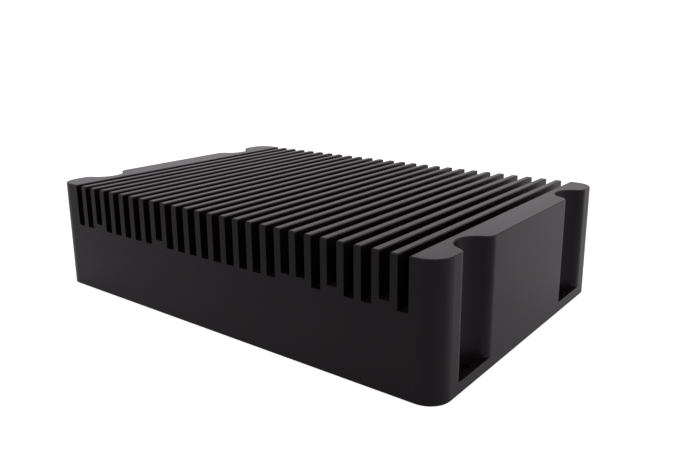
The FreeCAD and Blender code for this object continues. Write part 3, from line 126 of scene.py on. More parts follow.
class Finish(Nodes):
    """A procedural material on Object coordinates, round one Principled shader."""

    def __init__(self, name, colour, roughness, **constants):
        self.material = bpy.data.materials.new(name + "_finish")
        self.material.use_nodes = True
        super().__init__(self.material.node_tree)
        self.shader = self.tree.nodes["Principled BSDF"]
        self.colour = colour
        self.set("Base Color", (*colour, 1))
        self.set("Roughness", roughness)
        for key, value in constants.items():
            self.set(key.replace("_", " "), value)
        self.place = self.add("ShaderNodeTexCoord", output="Object")
        finishes[name] = self.material

    def set(self, socket, value):
        self.put(self.shader.inputs[socket], value)

    def noise(self, scale, detail, place=None):
        return self.add("ShaderNodeTexNoise", None,
                        {"Vector": place or self.place, "Scale": scale, "Detail": detail})

    def lines(self, per_metre):
        """Fine lines: noise with its own count per metre along each axis."""
        stretched = self.add("ShaderNodeMapping", None,
                             {"Vector": self.place, "Scale": per_metre})
        return self.noise(scale=1, detail=3, place=stretched)

    def spread(self, value, low, high):
        """The middle stretch of a noise, taken to low and high."""
        return self.add("ShaderNodeMapRange", None,
                        {"Value": value, "From Min": NOISE_LOW, "From Max": NOISE_HIGH,
                         "To Min": low, "To Max": high})

    def shade(self, value, amount):
        """The finish's colour, darker and lighter by amount as a noise goes up and down."""
        dark = [part * (1 - amount) for part in self.colour]
        light = [min(1.0, part * (1 + amount)) for part in self.colour]
        self.set("Base Color", self.mix(self.spread(value, 0.0, 1.0), dark, light))

    def relief(self, height, depth, strength, edge=0.0):
        """Fine relief on the surface, over edges eased by a small radius."""
        ends = {"Height": height, "Distance": depth, "Strength": strength}
        if edge:
            ends["Normal"] = self.add("ShaderNodeBevel", {"samples": BEVEL_SAMPLES},
                                      {"Radius": edge})
        self.set("Normal", self.add("ShaderNodeBump", None, ends))


BLACK_DYE = (0.0026, 0.0020, 0.0025)
DYED_GLOSS = (1.0, 0.86, 0.98, 1)

# Counts per metre along X, Y and Z; lines run along the axis that has the low count.
LINES_X = (60, 900, 900)
LINES_Y = (900, 60, 900)
LINES_Z = (900, 900, 60)
EVEN_GRAIN = (900, 900, 900)


def anodised(name, lines, roughness, edge=0.16 * MM):
    """Satin black anodised aluminium: fine etched grain over faint cutter lines."""
    made = Finish(name, BLACK_DYE, roughness, Specular_IOR_Level=0.22,
                  Specular_Tint=DYED_GLOSS)
    cloud = made.noise(scale=11, detail=3)
    etched = made.noise(scale=2300, detail=2)
    cutter = made.lines(lines)
    made.shade(cloud * 0.5 + cutter * 0.5, amount=0.25)
    made.set("Roughness", made.spread(cloud, roughness - 0.03, roughness + 0.03)
             + made.spread(cutter, -0.008, 0.008))
    made.relief(etched * 0.8 + cutter * 0.1, depth=0.02 * MM, strength=0.3, edge=edge)


def bare_metal(name, colour, roughness, lines):
    """Plated or bare metal with fine drawn lines."""
    made = Finish(name, colour, roughness, Metallic=1.0)
    drawn = made.lines(lines)
    cloud = made.noise(scale=90, detail=2)
    made.shade(cloud * 0.5 + drawn * 0.5, amount=0.12)
    made.set("Roughness", made.spread(cloud, roughness - 0.05, roughness + 0.08))
    made.relief(drawn, depth=0.015 * MM, strength=0.25, edge=EASED_EDGE)


def moulded(name, colour, roughness, grain=1800):
    """Moulded plastic or rubber: a fine spark-eroded grain and slight flow marks."""
    made = Finish(name, colour, roughness, Specular_IOR_Level=0.4)
    pitted = made.noise(scale=grain, detail=3)
    flow = made.noise(scale=60, detail=2)
    made.shade(flow, amount=0.12)
    made.set("Roughness", made.spread(flow, roughness - 0.05, roughness + 0.05))
    made.relief(pitted, depth=0.02 * MM, strength=0.4, edge=EASED_EDGE)


def solder_mask(name, colour):
    """A printed circuit board: tracks that stand up a little under a glossy mask."""
    made = Finish(name, colour, roughness=0.32)
    tracks = made.add("ShaderNodeTexBrick", {"offset": 0.37, "squash": 0.6},
                      {"Vector": made.place, "Scale": 260.0, "Mortar Size": 0.016,
                       "Mortar Smooth": 0.2, "Brick Width": 2.2, "Row Height": 0.35},
                      "Fac")
    weave = made.noise(scale=700, detail=2)
    over_copper = [part * 2.1 + 0.02 for part in colour]
    made.set("Base Color", made.mix(tracks, colour, over_copper))
    made.set("Roughness", made.spread(weave, 0.28, 0.38))
    made.relief(tracks + weave * 0.3, depth=0.03 * MM, strength=0.5)


def light_guide(name, colour, glow):
    """Frosted tinted plastic, lit a little by the lamp behind it."""
    made = Finish(name, colour, roughness=0.3, Transmission_Weight=0.6, IOR=1.49,
                  Emission_Strength=0.3, Emission_Color=(*glow, 1))
    frost = made.noise(scale=1500, detail=2)
    made.set("Roughness", made.spread(frost, 0.22, 0.4))
    made.relief(frost, depth=0.02 * MM, strength=0.4)


anodised("anodised_black", LINES_Y, roughness=0.35, edge=0.06 * MM)
anodised("anodised_cover", LINES_X, roughness=0.5)
anodised("anodised_plate", LINES_X, roughness=0.48)
bare_metal("black_screw", (0.055, 0.055, 0.058), 0.38, EVEN_GRAIN)
bare_metal("plated_screw", (0.48, 0.48, 0.49), 0.28, EVEN_GRAIN)
bare_metal("plated_nut", (0.56, 0.52, 0.42), 0.26, EVEN_GRAIN)
bare_metal("contact_gold", (0.86, 0.62, 0.24), 0.24, LINES_Y)
solder_mask("circuit_board", (0.01, 0.08, 0.03))
solder_mask("card", (0.01, 0.06, 0.03))
bare_metal("processor_lid", (0.55, 0.55, 0.56), 0.32, LINES_X)
bare_metal("bare_aluminium", (0.78, 0.78, 0.79), 0.34, LINES_X)
moulded("thermal_pad", (0.30, 0.36, 0.46), 0.7, grain=2400)
moulded("dark_package", (0.035, 0.035, 0.038), 0.55)
bare_metal("capacitor_can", (0.7, 0.7, 0.72), 0.3, LINES_Z)
bare_metal("cell_steel", (0.72, 0.72, 0.72), 0.24, LINES_X)
moulded("black_moulding", (0.012, 0.012, 0.013), 0.5)
moulded("white_moulding", (0.80, 0.79, 0.74), 0.5)
moulded("terminal_moulding", (0.02, 0.13, 0.055), 0.48)
bare_metal("connector_shell", (0.50, 0.49, 0.475), 0.3, LINES_X)
bare_metal("button_metal", (0.43, 0.43, 0.43), 0.3, LINES_X)
light_guide("light_pipe", (0.22, 0.62, 0.30), glow=(0.1, 0.9, 0.25))
light_guide("amber_pipe", (0.70, 0.42, 0.10), glow=(1.0, 0.42, 0.02))

for item in cad_nodes.values():
    for holder in item.material_slots:
        holder.material = finishes[holder.material.name.split(".")[0]]


# ------------------------------------------------------------------ mesh helpers

def mm(*lengths):
    """Lengths in millimetres, turned to metres."""
    return tuple(length * MM for length in lengths)


def about(middle, size):
    """The two ends of a stretch of this size round its middle."""
    return middle - size / 2, middle + size / 2


def past(place, stretch):
    """The two ends of a stretch that is measured from a place."""
    return place + stretch[0], place + stretch[1]


def row(middle, count, pitch):
    """The middles of evenly spaced pieces, placed evenly round middle."""
    return [middle + (index - (count - 1) / 2) * pitch for index in range(count)]


def points(parts):
    """The vertices among the parts that an operator made."""
    return [part for part in parts if isinstance(part, bmesh.types.BMVert)]


def block(shape, across, along, upward, edge=0.0, segments=2):
    """A box over a stretch of X, one of Y and one of Z, with its edges rounded."""
    low = Vector([min(ends) for ends in (across, along, upward)])
    high = Vector([max(ends) for ends in (across, along, upward)])
    corners = bmesh.ops.create_cube(shape, size=1.0)["verts"]
    bmesh.ops.scale(shape, vec=high - low, verts=corners)
    bmesh.ops.translate(shape, vec=(high + low) / 2, verts=corners)
    if edge:
        edges = {line for corner in corners for line in corner.link_edges}
        bmesh.ops.bevel(shape, geom=list(edges), offset=edge, segments=segments,
                        affect="EDGES", profile=0.5, material=-1)


def turned(shape, centre, profile, steps):
    """Radius and depth pairs spun round an axis along +Y; depth is towards +Y."""
    line = [shape.verts.new((centre[0] + radius, centre[1] + depth, centre[2]))
            for radius, depth in profile]
    edges = [shape.edges.new(pair) for pair in zip(line, line[1:])]
    bmesh.ops.spin(shape, geom=line + edges, cent=centre, axis=(0, 1, 0), dvec=(0, 0, 0),
                   angle=2 * math.pi, steps=steps, use_merge=True)


def strip(shape, origin, path, width, thickness):
    """A flat spring strip, its width along X, bent through Y and Z pairs from its origin."""
    places = [Vector(origin) + Vector((0, along, upward)) for along, upward in path]
    run = (places[1] - places[0]).normalized()
    across = Vector((width / 2, 0, 0))
    through = across.cross(run).normalized() * thickness / 2
    corners = [shape.verts.new(places[0] + offset)
               for offset in (across + through, through - across,
                              -across - through, across - through)]
    end = shape.faces.new(corners)
    for start, stop in zip(places, places[1:]):
        grown = bmesh.ops.extrude_face_region(shape, geom=[end])["geom"]
        bmesh.ops.translate(shape, vec=stop - start, verts=points(grown))
        end = next(part for part in grown if isinstance(part, bmesh.types.BMFace))


SHARP_ANGLE = math.radians(35)
DOUBLES = 1e-6


def piece(name, shape, finish, body="case"):
    """The finished piece: doubles merged, faces outwards, riding on its body."""
    bmesh.ops.remove_doubles(shape, verts=shape.verts, dist=DOUBLES)
    bmesh.ops.recalc_face_normals(shape, faces=shape.faces)
    mesh = bpy.data.meshes.new(name)
    shape.to_mesh(mesh)
    shape.free()
    mesh.materials.append(finishes[finish])
    mesh.set_sharp_from_angle(angle=SHARP_ANGLE)
    item = bpy.data.objects.new(name, mesh)
    bpy.context.scene.collection.objects.link(item)
    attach(item, body)


# ------------------------------------------------------------------ network jacks

# ALONG is a stretch of Y, measured from a socket's face. PATH steps along Y from the face
# and along Z from an edge of the mouth.

JACK_MOUTH_WIDTH = 11.8 * MM
JACK_MOUTH_HEIGHT = 7.2 * MM
JACK_MOUTH_RISE = 3.4 * MM
JACK_LATCH_WAY = 6.0 * MM
JACK_LINING_WALL = 0.35 * MM
JACK_LINING_ALONG = mm(-11.9, -0.4)
JACK_COMB_WALL = 0.36 * MM
JACK_COMB_DROP = 2.4 * MM
JACK_COMB_FRONT = 3.2 * MM
JACK_CONTACTS = 8
JACK_CONTACT_PITCH = 1.02 * MM
JACK_CONTACT_WIDTH = 0.46 * MM
JACK_CONTACT_THICKNESS = 0.2 * MM
JACK_CONTACT_PATH = (mm(-2.4, -0.7), mm(-3.0, -1.0), mm(-9.0, -3.9), mm(-10.4, -4.1))
JACK_WINDOW_WIDTH = 3.4 * MM
JACK_WINDOW_INSET = 2.7 * MM
JACK_WINDOW_ALONG = mm(-1.0, 0.12)
JACK_WINDOW_BELOW_TOP = mm(-2.05, -0.75)
JACK_WINDOW_EDGE = 0.1 * MM
JACK_TAB_WIDTH = 0.9 * MM
JACK_TAB_OFFSET = 1.05 * MM
JACK_TAB_ALONG = mm(-0.2, 0.16)
JACK_TAB_ABOVE_SILL = mm(1.6, 5.2)
JACK_TAB_EDGE = 0.14 * MM


def dress_network_jack(node):
    """Black lining, eight sprung contacts, two status windows and the shield's side tabs."""
    low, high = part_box(node)
    middle = (low.x + high.x) / 2
    face = high.y
    sill = BOARD_TOP + JACK_MOUTH_RISE
    top = sill + JACK_MOUTH_HEIGHT
    mouth = about(middle, JACK_MOUTH_WIDTH)
    back, front = past(face, JACK_LINING_ALONG)

    lining = bmesh.new()
    block(lining, mouth, (back, back + JACK_LINING_WALL), (sill, top))
    for side, outer in zip((-1, 1), mouth):
        block(lining, (outer - side * JACK_LINING_WALL, outer), (back, front), (sill, top))
        block(lining, (middle + side * JACK_LATCH_WAY / 2, outer), (back, front),
              (sill, sill + JACK_LINING_WALL))
    block(lining, mouth, (back, front), (top - JACK_LINING_WALL, top))
    for x in row(middle, JACK_CONTACTS + 1, JACK_CONTACT_PITCH):
        block(lining, about(x, JACK_COMB_WALL), (back, face - JACK_COMB_FRONT),
              (top - JACK_COMB_DROP, top - JACK_LINING_WALL))
    piece(node + "_lining", lining, "black_moulding")

    contacts = bmesh.new()
    for x in row(middle, JACK_CONTACTS, JACK_CONTACT_PITCH):
        strip(contacts, (x, face, top), JACK_CONTACT_PATH, JACK_CONTACT_WIDTH,
              JACK_CONTACT_THICKNESS)
    piece(node + "_contacts", contacts, "contact_gold")

    for name, side, finish in (("link", -1, "light_pipe"), ("traffic", 1, "amber_pipe")):
        window = bmesh.new()
        x = middle + side * ((high.x - low.x) / 2 - JACK_WINDOW_INSET)
        block(window, about(x, JACK_WINDOW_WIDTH), past(face, JACK_WINDOW_ALONG),
              past(high.z, JACK_WINDOW_BELOW_TOP), JACK_WINDOW_EDGE)
        piece(f"{node}_{name}_window", window, finish)

    tabs = bmesh.new()
    for side, outer in zip((-1, 1), mouth):
        block(tabs, about(outer + side * JACK_TAB_OFFSET, JACK_TAB_WIDTH),
              past(face, JACK_TAB_ALONG), past(sill, JACK_TAB_ABOVE_SILL), JACK_TAB_EDGE)
    piece(node + "_shield_tabs", tabs, "connector_shell")


dress_network_jack("network_jack_left")
dress_network_jack("network_jack_right")


# ------------------------------------------------------------------ double serial-bus sockets

BUS_MOUTH_WIDTH = 12.6 * MM
BUS_MOUTH_HEIGHT = 5.2 * MM
BUS_MOUTH_RISE = 1.1 * MM
BUS_MOUTH_PITCH = 7.9 * MM
BUS_BACK_ALONG = mm(-11.98, -11.5)
BUS_TONGUE_WIDTH = 11.32 * MM
BUS_TONGUE_BELOW_TOP = mm(-2.56, -0.64)
BUS_TONGUE_ALONG = mm(-11.7, -0.9)
BUS_TONGUE_EDGE = 0.22 * MM
BUS_CONTACTS = 4
BUS_CONTACT_PITCH = 2.5 * MM
BUS_CONTACT_WIDTH = 1.1 * MM
BUS_CONTACT_THICKNESS = 0.14 * MM
BUS_CONTACT_PATH = (mm(-11.5, -0.02), mm(-3.6, -0.16), mm(-1.7, 0.06))
BUS_SPRING_PITCH = 6.2 * MM
BUS_SPRING_WIDTH = 2.0 * MM
BUS_SPRING_THICKNESS = 0.16 * MM
BUS_SPRING_PATH = (mm(-0.3, 0.04), mm(-3.4, 0.62), mm(-4.6, 0.34))
BUS_SIDE_SPRING_THICKNESS = 0.42 * MM
BUS_SIDE_SPRING_ALONG = mm(-4.4, -0.9)
BUS_SIDE_SPRING_ABOVE_SILL = mm(1.7, 3.2)
BUS_SIDE_SPRING_EDGE = 0.18 * MM
BUS_FOLD_INSET = 0.5 * MM
BUS_FOLD_ALONG = mm(-0.2, 0.12)
BUS_FOLD_ABOVE_FOOT = mm(0.35, 0.8)
BUS_FOLD_BELOW_TOP = mm(-0.8, -0.35)
BUS_FOLD_EDGE = 0.1 * MM


def dress_bus_socket(node):
    """Black back walls and tongues with contact strips, and the shell's springs and folds."""
    low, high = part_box(node)
    middle = (low.x + high.x) / 2
    face = high.y
    mouth = about(middle, BUS_MOUTH_WIDTH)
    plastic = bmesh.new()
    strips = bmesh.new()
    springs = bmesh.new()
    for level in range(2):
        sill = BOARD_TOP + BUS_MOUTH_RISE + level * BUS_MOUTH_PITCH
        top = sill + BUS_MOUTH_HEIGHT
        tongue = past(top, BUS_TONGUE_BELOW_TOP)
        block(plastic, mouth, past(face, BUS_BACK_ALONG), (sill, top))
        block(plastic, about(middle, BUS_TONGUE_WIDTH), past(face, BUS_TONGUE_ALONG), tongue,
              BUS_TONGUE_EDGE)
        for x in row(middle, BUS_CONTACTS, BUS_CONTACT_PITCH):
            strip(strips, (x, face, tongue[0]), BUS_CONTACT_PATH, BUS_CONTACT_WIDTH,
                  BUS_CONTACT_THICKNESS)
        for x in row(middle, 2, BUS_SPRING_PITCH):
            strip(springs, (x, face, sill), BUS_SPRING_PATH, BUS_SPRING_WIDTH,
                  BUS_SPRING_THICKNESS)
        for side, wall in zip((-1, 1), mouth):
            block(springs, (wall, wall - side * BUS_SIDE_SPRING_THICKNESS),
                  past(face, BUS_SIDE_SPRING_ALONG), past(sill, BUS_SIDE_SPRING_ABOVE_SILL),
                  BUS_SIDE_SPRING_EDGE)
    folds = bmesh.new()
    for upward in (past(low.z, BUS_FOLD_ABOVE_FOOT), past(high.z, BUS_FOLD_BELOW_TOP)):
        block(folds, (low.x + BUS_FOLD_INSET, high.x - BUS_FOLD_INSET),
              past(face, BUS_FOLD_ALONG), upward, BUS_FOLD_EDGE)
    piece(node + "_plastic", plastic, "black_moulding")
    piece(node + "_contact_strips", strips, "contact_gold")
    piece(node + "_springs", springs, "connector_shell")
    piece(node + "_shell_folds", folds, "connector_shell")


dress_bus_socket("usb_socket_left")
dress_bus_socket("usb_socket_right")


# ------------------------------------------------------------------ display socket

# The back wall and the tongue's root are measured from the socket's inner end.

DISPLAY_SHELL = 0.62 * MM
DISPLAY_BACK_WALL = mm(2.02, 2.5)
DISPLAY_TONGUE_INSET = 1.94 * MM
DISPLAY_TONGUE_THICKNESS = 1.32 * MM
DISPLAY_TONGUE_ROOT = 2.3 * MM
DISPLAY_TONGUE_FRONT = 0.9 * MM
DISPLAY_TONGUE_EDGE = 0.16 * MM
DISPLAY_CONTACTS = 10
DISPLAY_CONTACT_PITCH = 1.0 * MM
DISPLAY_CONTACT_WIDTH = 0.4 * MM
DISPLAY_CONTACT_THICKNESS = 0.1 * MM
DISPLAY_CONTACT_LEVELS = 1.36 * MM
DISPLAY_CONTACT_FRONT = 1.5 * MM
DISPLAY_SPRING_PITCH = 7.2 * MM
DISPLAY_SPRING_WIDTH = 1.6 * MM
DISPLAY_SPRING_THICKNESS = 0.14 * MM
DISPLAY_SPRING_INSET = 0.6 * MM
DISPLAY_SPRING_PATH = (mm(-0.4, 0.0), mm(-3.0, 0.5), mm(-4.2, 0.2))


def dress_display_socket():
    """Black back wall and tongue, with contacts on both sides of it, and the shell's springs."""
    low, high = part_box("display_socket")
    middle = (low.x + high.x) / 2
    level = (low.z + high.z) / 2
    front = high.y
    back = past(low.y, DISPLAY_BACK_WALL)

    plastic = bmesh.new()
    block(plastic, (low.x + DISPLAY_SHELL, high.x - DISPLAY_SHELL), back,
          (low.z + DISPLAY_SHELL, high.z - DISPLAY_SHELL))
    block(plastic, (low.x + DISPLAY_TONGUE_INSET, high.x - DISPLAY_TONGUE_INSET),
          (low.y + DISPLAY_TONGUE_ROOT, front - DISPLAY_TONGUE_FRONT),
          about(level, DISPLAY_TONGUE_THICKNESS), DISPLAY_TONGUE_EDGE)
    piece("display_socket_plastic", plastic, "black_moulding")

    contacts = bmesh.new()
    for x in row(middle, DISPLAY_CONTACTS, DISPLAY_CONTACT_PITCH):
        for z in row(level, 2, DISPLAY_CONTACT_LEVELS):
            block(contacts, about(x, DISPLAY_CONTACT_WIDTH),
                  (back[1], front - DISPLAY_CONTACT_FRONT),
                  about(z, DISPLAY_CONTACT_THICKNESS))
    piece("display_socket_contacts", contacts, "contact_gold")

    springs = bmesh.new()
    for inwards, wall in ((1, low.z + DISPLAY_SPRING_INSET),
                          (-1, high.z - DISPLAY_SPRING_INSET)):
        path = [(along, inwards * upward) for along, upward in DISPLAY_SPRING_PATH]
        for x in row(middle, 2, DISPLAY_SPRING_PITCH):
            strip(springs, (x, front, wall), path, DISPLAY_SPRING_WIDTH,
                  DISPLAY_SPRING_THICKNESS)
    piece("display_socket_springs", springs, "connector_shell")


dress_display_socket()


# ------------------------------------------------------------------ serial port

SERIAL_RISE = 6.3 * MM
INSULATOR_LOW_WIDTH = 14.16 * MM
INSULATOR_HIGH_WIDTH = 15.96 * MM
INSULATOR_HEIGHT = 7.36 * MM
INSULATOR_BACK = 1.7 * MM
INSULATOR_DEPTH = 1.1 * MM
INSULATOR_CORNER = 1.4 * MM
INSULATOR_CORNER_STEPS = 5
PIN_PITCH = 2.77 * MM
PIN_ROWS = 2.84 * MM
PIN_STEPS = 16
PIN_PROFILE = (mm(0, 2.85), mm(0.25, 2.8), mm(0.44, 2.5), mm(0.52, 2.1), mm(0.52, -0.9),
               mm(0, -0.9))


def dress_serial_port():
    """The black insulator inside the shell, with five gold pins over four."""
    low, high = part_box("serial_port")
    middle = (low.x + high.x) / 2
    level = BOARD_TOP + SERIAL_RISE

    insulator = bmesh.new()
    foot, head = about(level, INSULATOR_HEIGHT)
    foot_left, foot_right = about(middle, INSULATOR_LOW_WIDTH)
    head_left, head_right = about(middle, INSULATOR_HIGH_WIDTH)
    outline = [insulator.verts.new((x, PLATE_FACE - INSULATOR_BACK, z))
               for x, z in ((foot_left, foot), (foot_right, foot),
                            (head_right, head), (head_left, head))]
    grown = bmesh.ops.extrude_face_region(insulator, geom=[insulator.faces.new(outline)])
    bmesh.ops.translate(insulator, vec=(0, INSULATOR_DEPTH, 0), verts=points(grown["geom"]))
    corners = [line for line in insulator.edges
               if abs((line.verts[0].co - line.verts[1].co).y) > INSULATOR_DEPTH / 2]
    bmesh.ops.bevel(insulator, geom=corners, offset=INSULATOR_CORNER,
                    segments=INSULATOR_CORNER_STEPS, affect="EDGES", profile=0.5, material=-1)
    piece("serial_port_insulator", insulator, "black_moulding")

    pins = bmesh.new()
    for z, count in ((level + PIN_ROWS / 2, 5), (level - PIN_ROWS / 2, 4)):
        for x in row(middle, count, PIN_PITCH):
            turned(pins, (x, PLATE_FACE, z), PIN_PROFILE, PIN_STEPS)
    piece("serial_port_pins", pins, "contact_gold")


dress_serial_port()


# ------------------------------------------------------------------ power terminal

TERMINAL_WAYS = 3
TERMINAL_PITCH = 5.08 * MM
TERMINAL_BACK = 3.0 * MM
TERMINAL_PIN = 1.1 * MM
TERMINAL_PIN_FRONT = 2.9 * MM
TERMINAL_PIN_EDGE = 0.12 * MM
LOW_RIB_WIDTH = 1.8 * MM
LOW_RIB_ABOVE_FOOT = mm(1.15, 1.75)
LOW_RIB_EDGE = 0.15 * MM
HIGH_RIB_WIDTH = 0.6 * MM
HIGH_RIB_BELOW_TOP = mm(-2.1, -1.15)
HIGH_RIB_EDGE = 0.1 * MM
RIB_FRONT = 0.6 * MM
LATCH_WIDTH = 1.0 * MM
LATCH_INSET = 0.45 * MM
LATCH_ALONG = mm(-0.5, 0.25)
LATCH_HEIGHT = 3.2 * MM
LATCH_EDGE = 0.15 * MM


def dress_power_terminal():
    """Tinned pins, keying ribs and the two end latches of the pluggable terminal."""
    low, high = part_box("power_terminal")
    middle = (low.x + high.x) / 2
    level = (low.z + high.z) / 2
    front = high.y
    back = low.y + TERMINAL_BACK
    pins = bmesh.new()
    for x in row(middle, TERMINAL_WAYS, TERMINAL_PITCH):
        block(pins, about(x, TERMINAL_PIN), (back, front - TERMINAL_PIN_FRONT),
              about(level, TERMINAL_PIN), TERMINAL_PIN_EDGE)
    piece("power_terminal_pins", pins, "plated_screw")

    ribs = bmesh.new()
    for x in row(middle, TERMINAL_WAYS, TERMINAL_PITCH):
        block(ribs, about(x, LOW_RIB_WIDTH), (back, front - RIB_FRONT),
              past(low.z, LOW_RIB_ABOVE_FOOT), LOW_RIB_EDGE)
    for x in row(middle, TERMINAL_WAYS - 1, TERMINAL_PITCH):
        block(ribs, about(x, HIGH_RIB_WIDTH), (back, front - RIB_FRONT),
              past(high.z, HIGH_RIB_BELOW_TOP), HIGH_RIB_EDGE)
    for x in (low.x + LATCH_INSET, high.x - LATCH_INSET):
        block(ribs, about(x, LATCH_WIDTH), past(front, LATCH_ALONG),
              about(level, LATCH_HEIGHT), LATCH_EDGE)
    piece("power_terminal_ribs", ribs, "terminal_moulding")


dress_power_terminal()


# ------------------------------------------------------------------ button and lights

BUTTON_STEPS = 64
BUTTON_FACE_PROFILE = (mm(0, 0.02), mm(1.6, 0.05), mm(2.7, 0.12), mm(3.0, 0.14),
                       mm(3.08, 0.04), mm(3.3, 0.04), mm(3.38, 0.15), mm(3.75, 0.13),
                       mm(3.98, 0.0), mm(4.06, -0.14), mm(4.06, -1.0), mm(3.9, -1.0),
                       mm(0, -0.1))
BEZEL_PROFILE = (mm(4.32, -0.3), mm(4.32, 0.4), mm(4.42, 0.52), mm(5.0, 0.52),
                 mm(5.25, 0.36), mm(5.32, 0.0), mm(5.32, -0.3), mm(4.32, -0.3))


def dress_button():
    """A dished cap face with a turned groove, and the thin bezel round its hole."""
    low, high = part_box("power_button")
    middle = (low.x + high.x) / 2
    level = (low.z + high.z) / 2
    cap = bmesh.new()
    turned(cap, (middle, high.y, level), BUTTON_FACE_PROFILE, BUTTON_STEPS)
    piece("power_button_face", cap, "button_metal", body="button")
    bezel = bmesh.new()
    turned(bezel, (middle, PLATE_FACE, level), BEZEL_PROFILE, BUTTON_STEPS)
    piece("power_button_bezel", bezel, "black_screw")


LENS_OVERSIZE = 1.01
LENS_CROWN = 0.45
LENS_FOOT = 0.05 * MM
LENS_SKIRT = 0.35 * MM
LENS_RINGS = 8
LENS_STEPS = 40


def dress_lights():
    """A domed lens on each light pipe."""
    low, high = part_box("status_light_pipes")
    radius = (high.z - low.z) / 2
    level = (low.z + high.z) / 2
    rim = radius * LENS_OVERSIZE
    crown = radius * LENS_CROWN
    quarter = math.pi / 2
    dome = [(rim * math.cos(ring / LENS_RINGS * quarter),
             crown * math.sin(ring / LENS_RINGS * quarter))
            for ring in range(LENS_RINGS, -1, -1)]
    profile = dome + [(rim, -LENS_SKIRT), (0, -LENS_SKIRT)]
    for name, x, finish in (("power_light_lens", low.x + radius, "light_pipe"),
                            ("disk_light_lens", high.x - radius, "amber_pipe")):
        lens = bmesh.new()
        turned(lens, (x, high.y - LENS_FOOT, level), profile, LENS_STEPS)
        piece(name, lens, finish)


dress_button()
dress_lights()


# ------------------------------------------------------------------ earth screw

HEAD_STEPS = 48
HEAD_RINGS = ((0.72, 1.0), (0.93, 0.86), (1.0, 0.6), (1.0, 0.0))
HEAD_SOCKET_DEPTH = 0.55
HEAD_SOCKET_RADIUS = 1.25 * MM
HEAD_SKIN = 0.03 * MM
HEAD_CROWN = 0.05 * MM
WASHER_TEETH = 12
TOOTH_REACH = mm(3.45, 4.1)
TOOTH_THICKNESS = 0.44 * MM
TOOTH_WIDTH = 0.84 * MM
TOOTH_EDGE = 0.08 * MM
TOOTH_TWIST = math.radians(16)
TOOTH_LIFT = 0.3 * MM


def socket_head(shape, centre, radius, height, key):
    """A domed screw head with a hexagon socket, on an axis along +Y."""
    ring = bmesh.ops.create_circle(shape, cap_ends=True, segments=HEAD_STEPS,
                                   radius=key)["verts"]
    sector = math.pi / 3
    for corner in ring:
        turn = math.atan2(corner.co.y, corner.co.x) % sector - sector / 2
        corner.co *= math.cos(sector / 2) / math.cos(turn)
    bmesh.ops.rotate(shape, matrix=Matrix.Rotation(math.radians(-90), 3, "X"), verts=ring)
    bmesh.ops.translate(shape, vec=Vector(centre) + Vector((0, height, 0)), verts=ring)
    floor = ring[0].link_faces[0]
    edges = list(floor.edges)
    for reach, rise in HEAD_RINGS:
        outer = bmesh.ops.extrude_edge_only(shape, edges=edges)["geom"]
        line = points(outer)
        for corner in line:
            way = Vector((corner.co.x - centre[0], 0, corner.co.z - centre[2])).normalized()
            corner.co = Vector(centre) + way * radius * reach + Vector((0, height * rise, 0))
        edges = [part for part in outer if isinstance(part, bmesh.types.BMEdge)
                 and part.verts[0] in line and part.verts[1] in line]
    sunk = bmesh.ops.extrude_face_region(shape, geom=[floor])["geom"]
    bmesh.ops.translate(shape, vec=(0, -height * HEAD_SOCKET_DEPTH, 0), verts=points(sunk))


def dress_earth_screw():
    """The earth screw's domed head with its hexagon socket, and a toothed washer's rim."""
    low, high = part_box("earth_screw")
    washer_low, washer_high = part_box("earth_washer")
    centre = ((low.x + high.x) / 2, washer_high.y, (low.z + high.z) / 2)
    head = bmesh.new()
    socket_head(head, centre, (high.x - low.x) / 2 + HEAD_SKIN,
                high.y - centre[1] + HEAD_CROWN, HEAD_SOCKET_RADIUS)
    piece("earth_screw_head", head, "plated_screw")

    teeth = bmesh.new()
    seat = (centre[0], washer_low.y + TOOTH_LIFT, centre[2])
    for index in range(WASHER_TEETH):
        before = set(teeth.verts)
        block(teeth, TOOTH_REACH, about(0, TOOTH_THICKNESS), about(0, TOOTH_WIDTH),
              TOOTH_EDGE, segments=1)
        tooth = [corner for corner in teeth.verts if corner not in before]
        turn = index * 2 * math.pi / WASHER_TEETH
        bmesh.ops.rotate(teeth, matrix=Matrix.Rotation(TOOTH_TWIST, 3, "X"), verts=tooth)
        bmesh.ops.rotate(teeth, matrix=Matrix.Rotation(turn, 3, "Y"), verts=tooth)
        bmesh.ops.translate(teeth, vec=seat, verts=tooth)
    piece("earth_washer_teeth", teeth, "plated_screw")


dress_earth_screw()


# ------------------------------------------------------------------ floor, light and camera

WHITE = (1, 1, 1)
FLOOR_SIZE = 40.0
FLOOR_BELOW = 0.1 * MM
FLOOR_PAINT = (0.45, 0.45, 0.45, 1)
FLOOR_LIFT = 0.8
FLOOR_GLOSS_TINT = (1, 0.93, 0.99)
FLOOR_GLOSS_NEAR = 0.2
FLOOR_GLOSS_FAR = 0.44
FLOOR_GLOSS_RUN = (-0.2, 0.0)


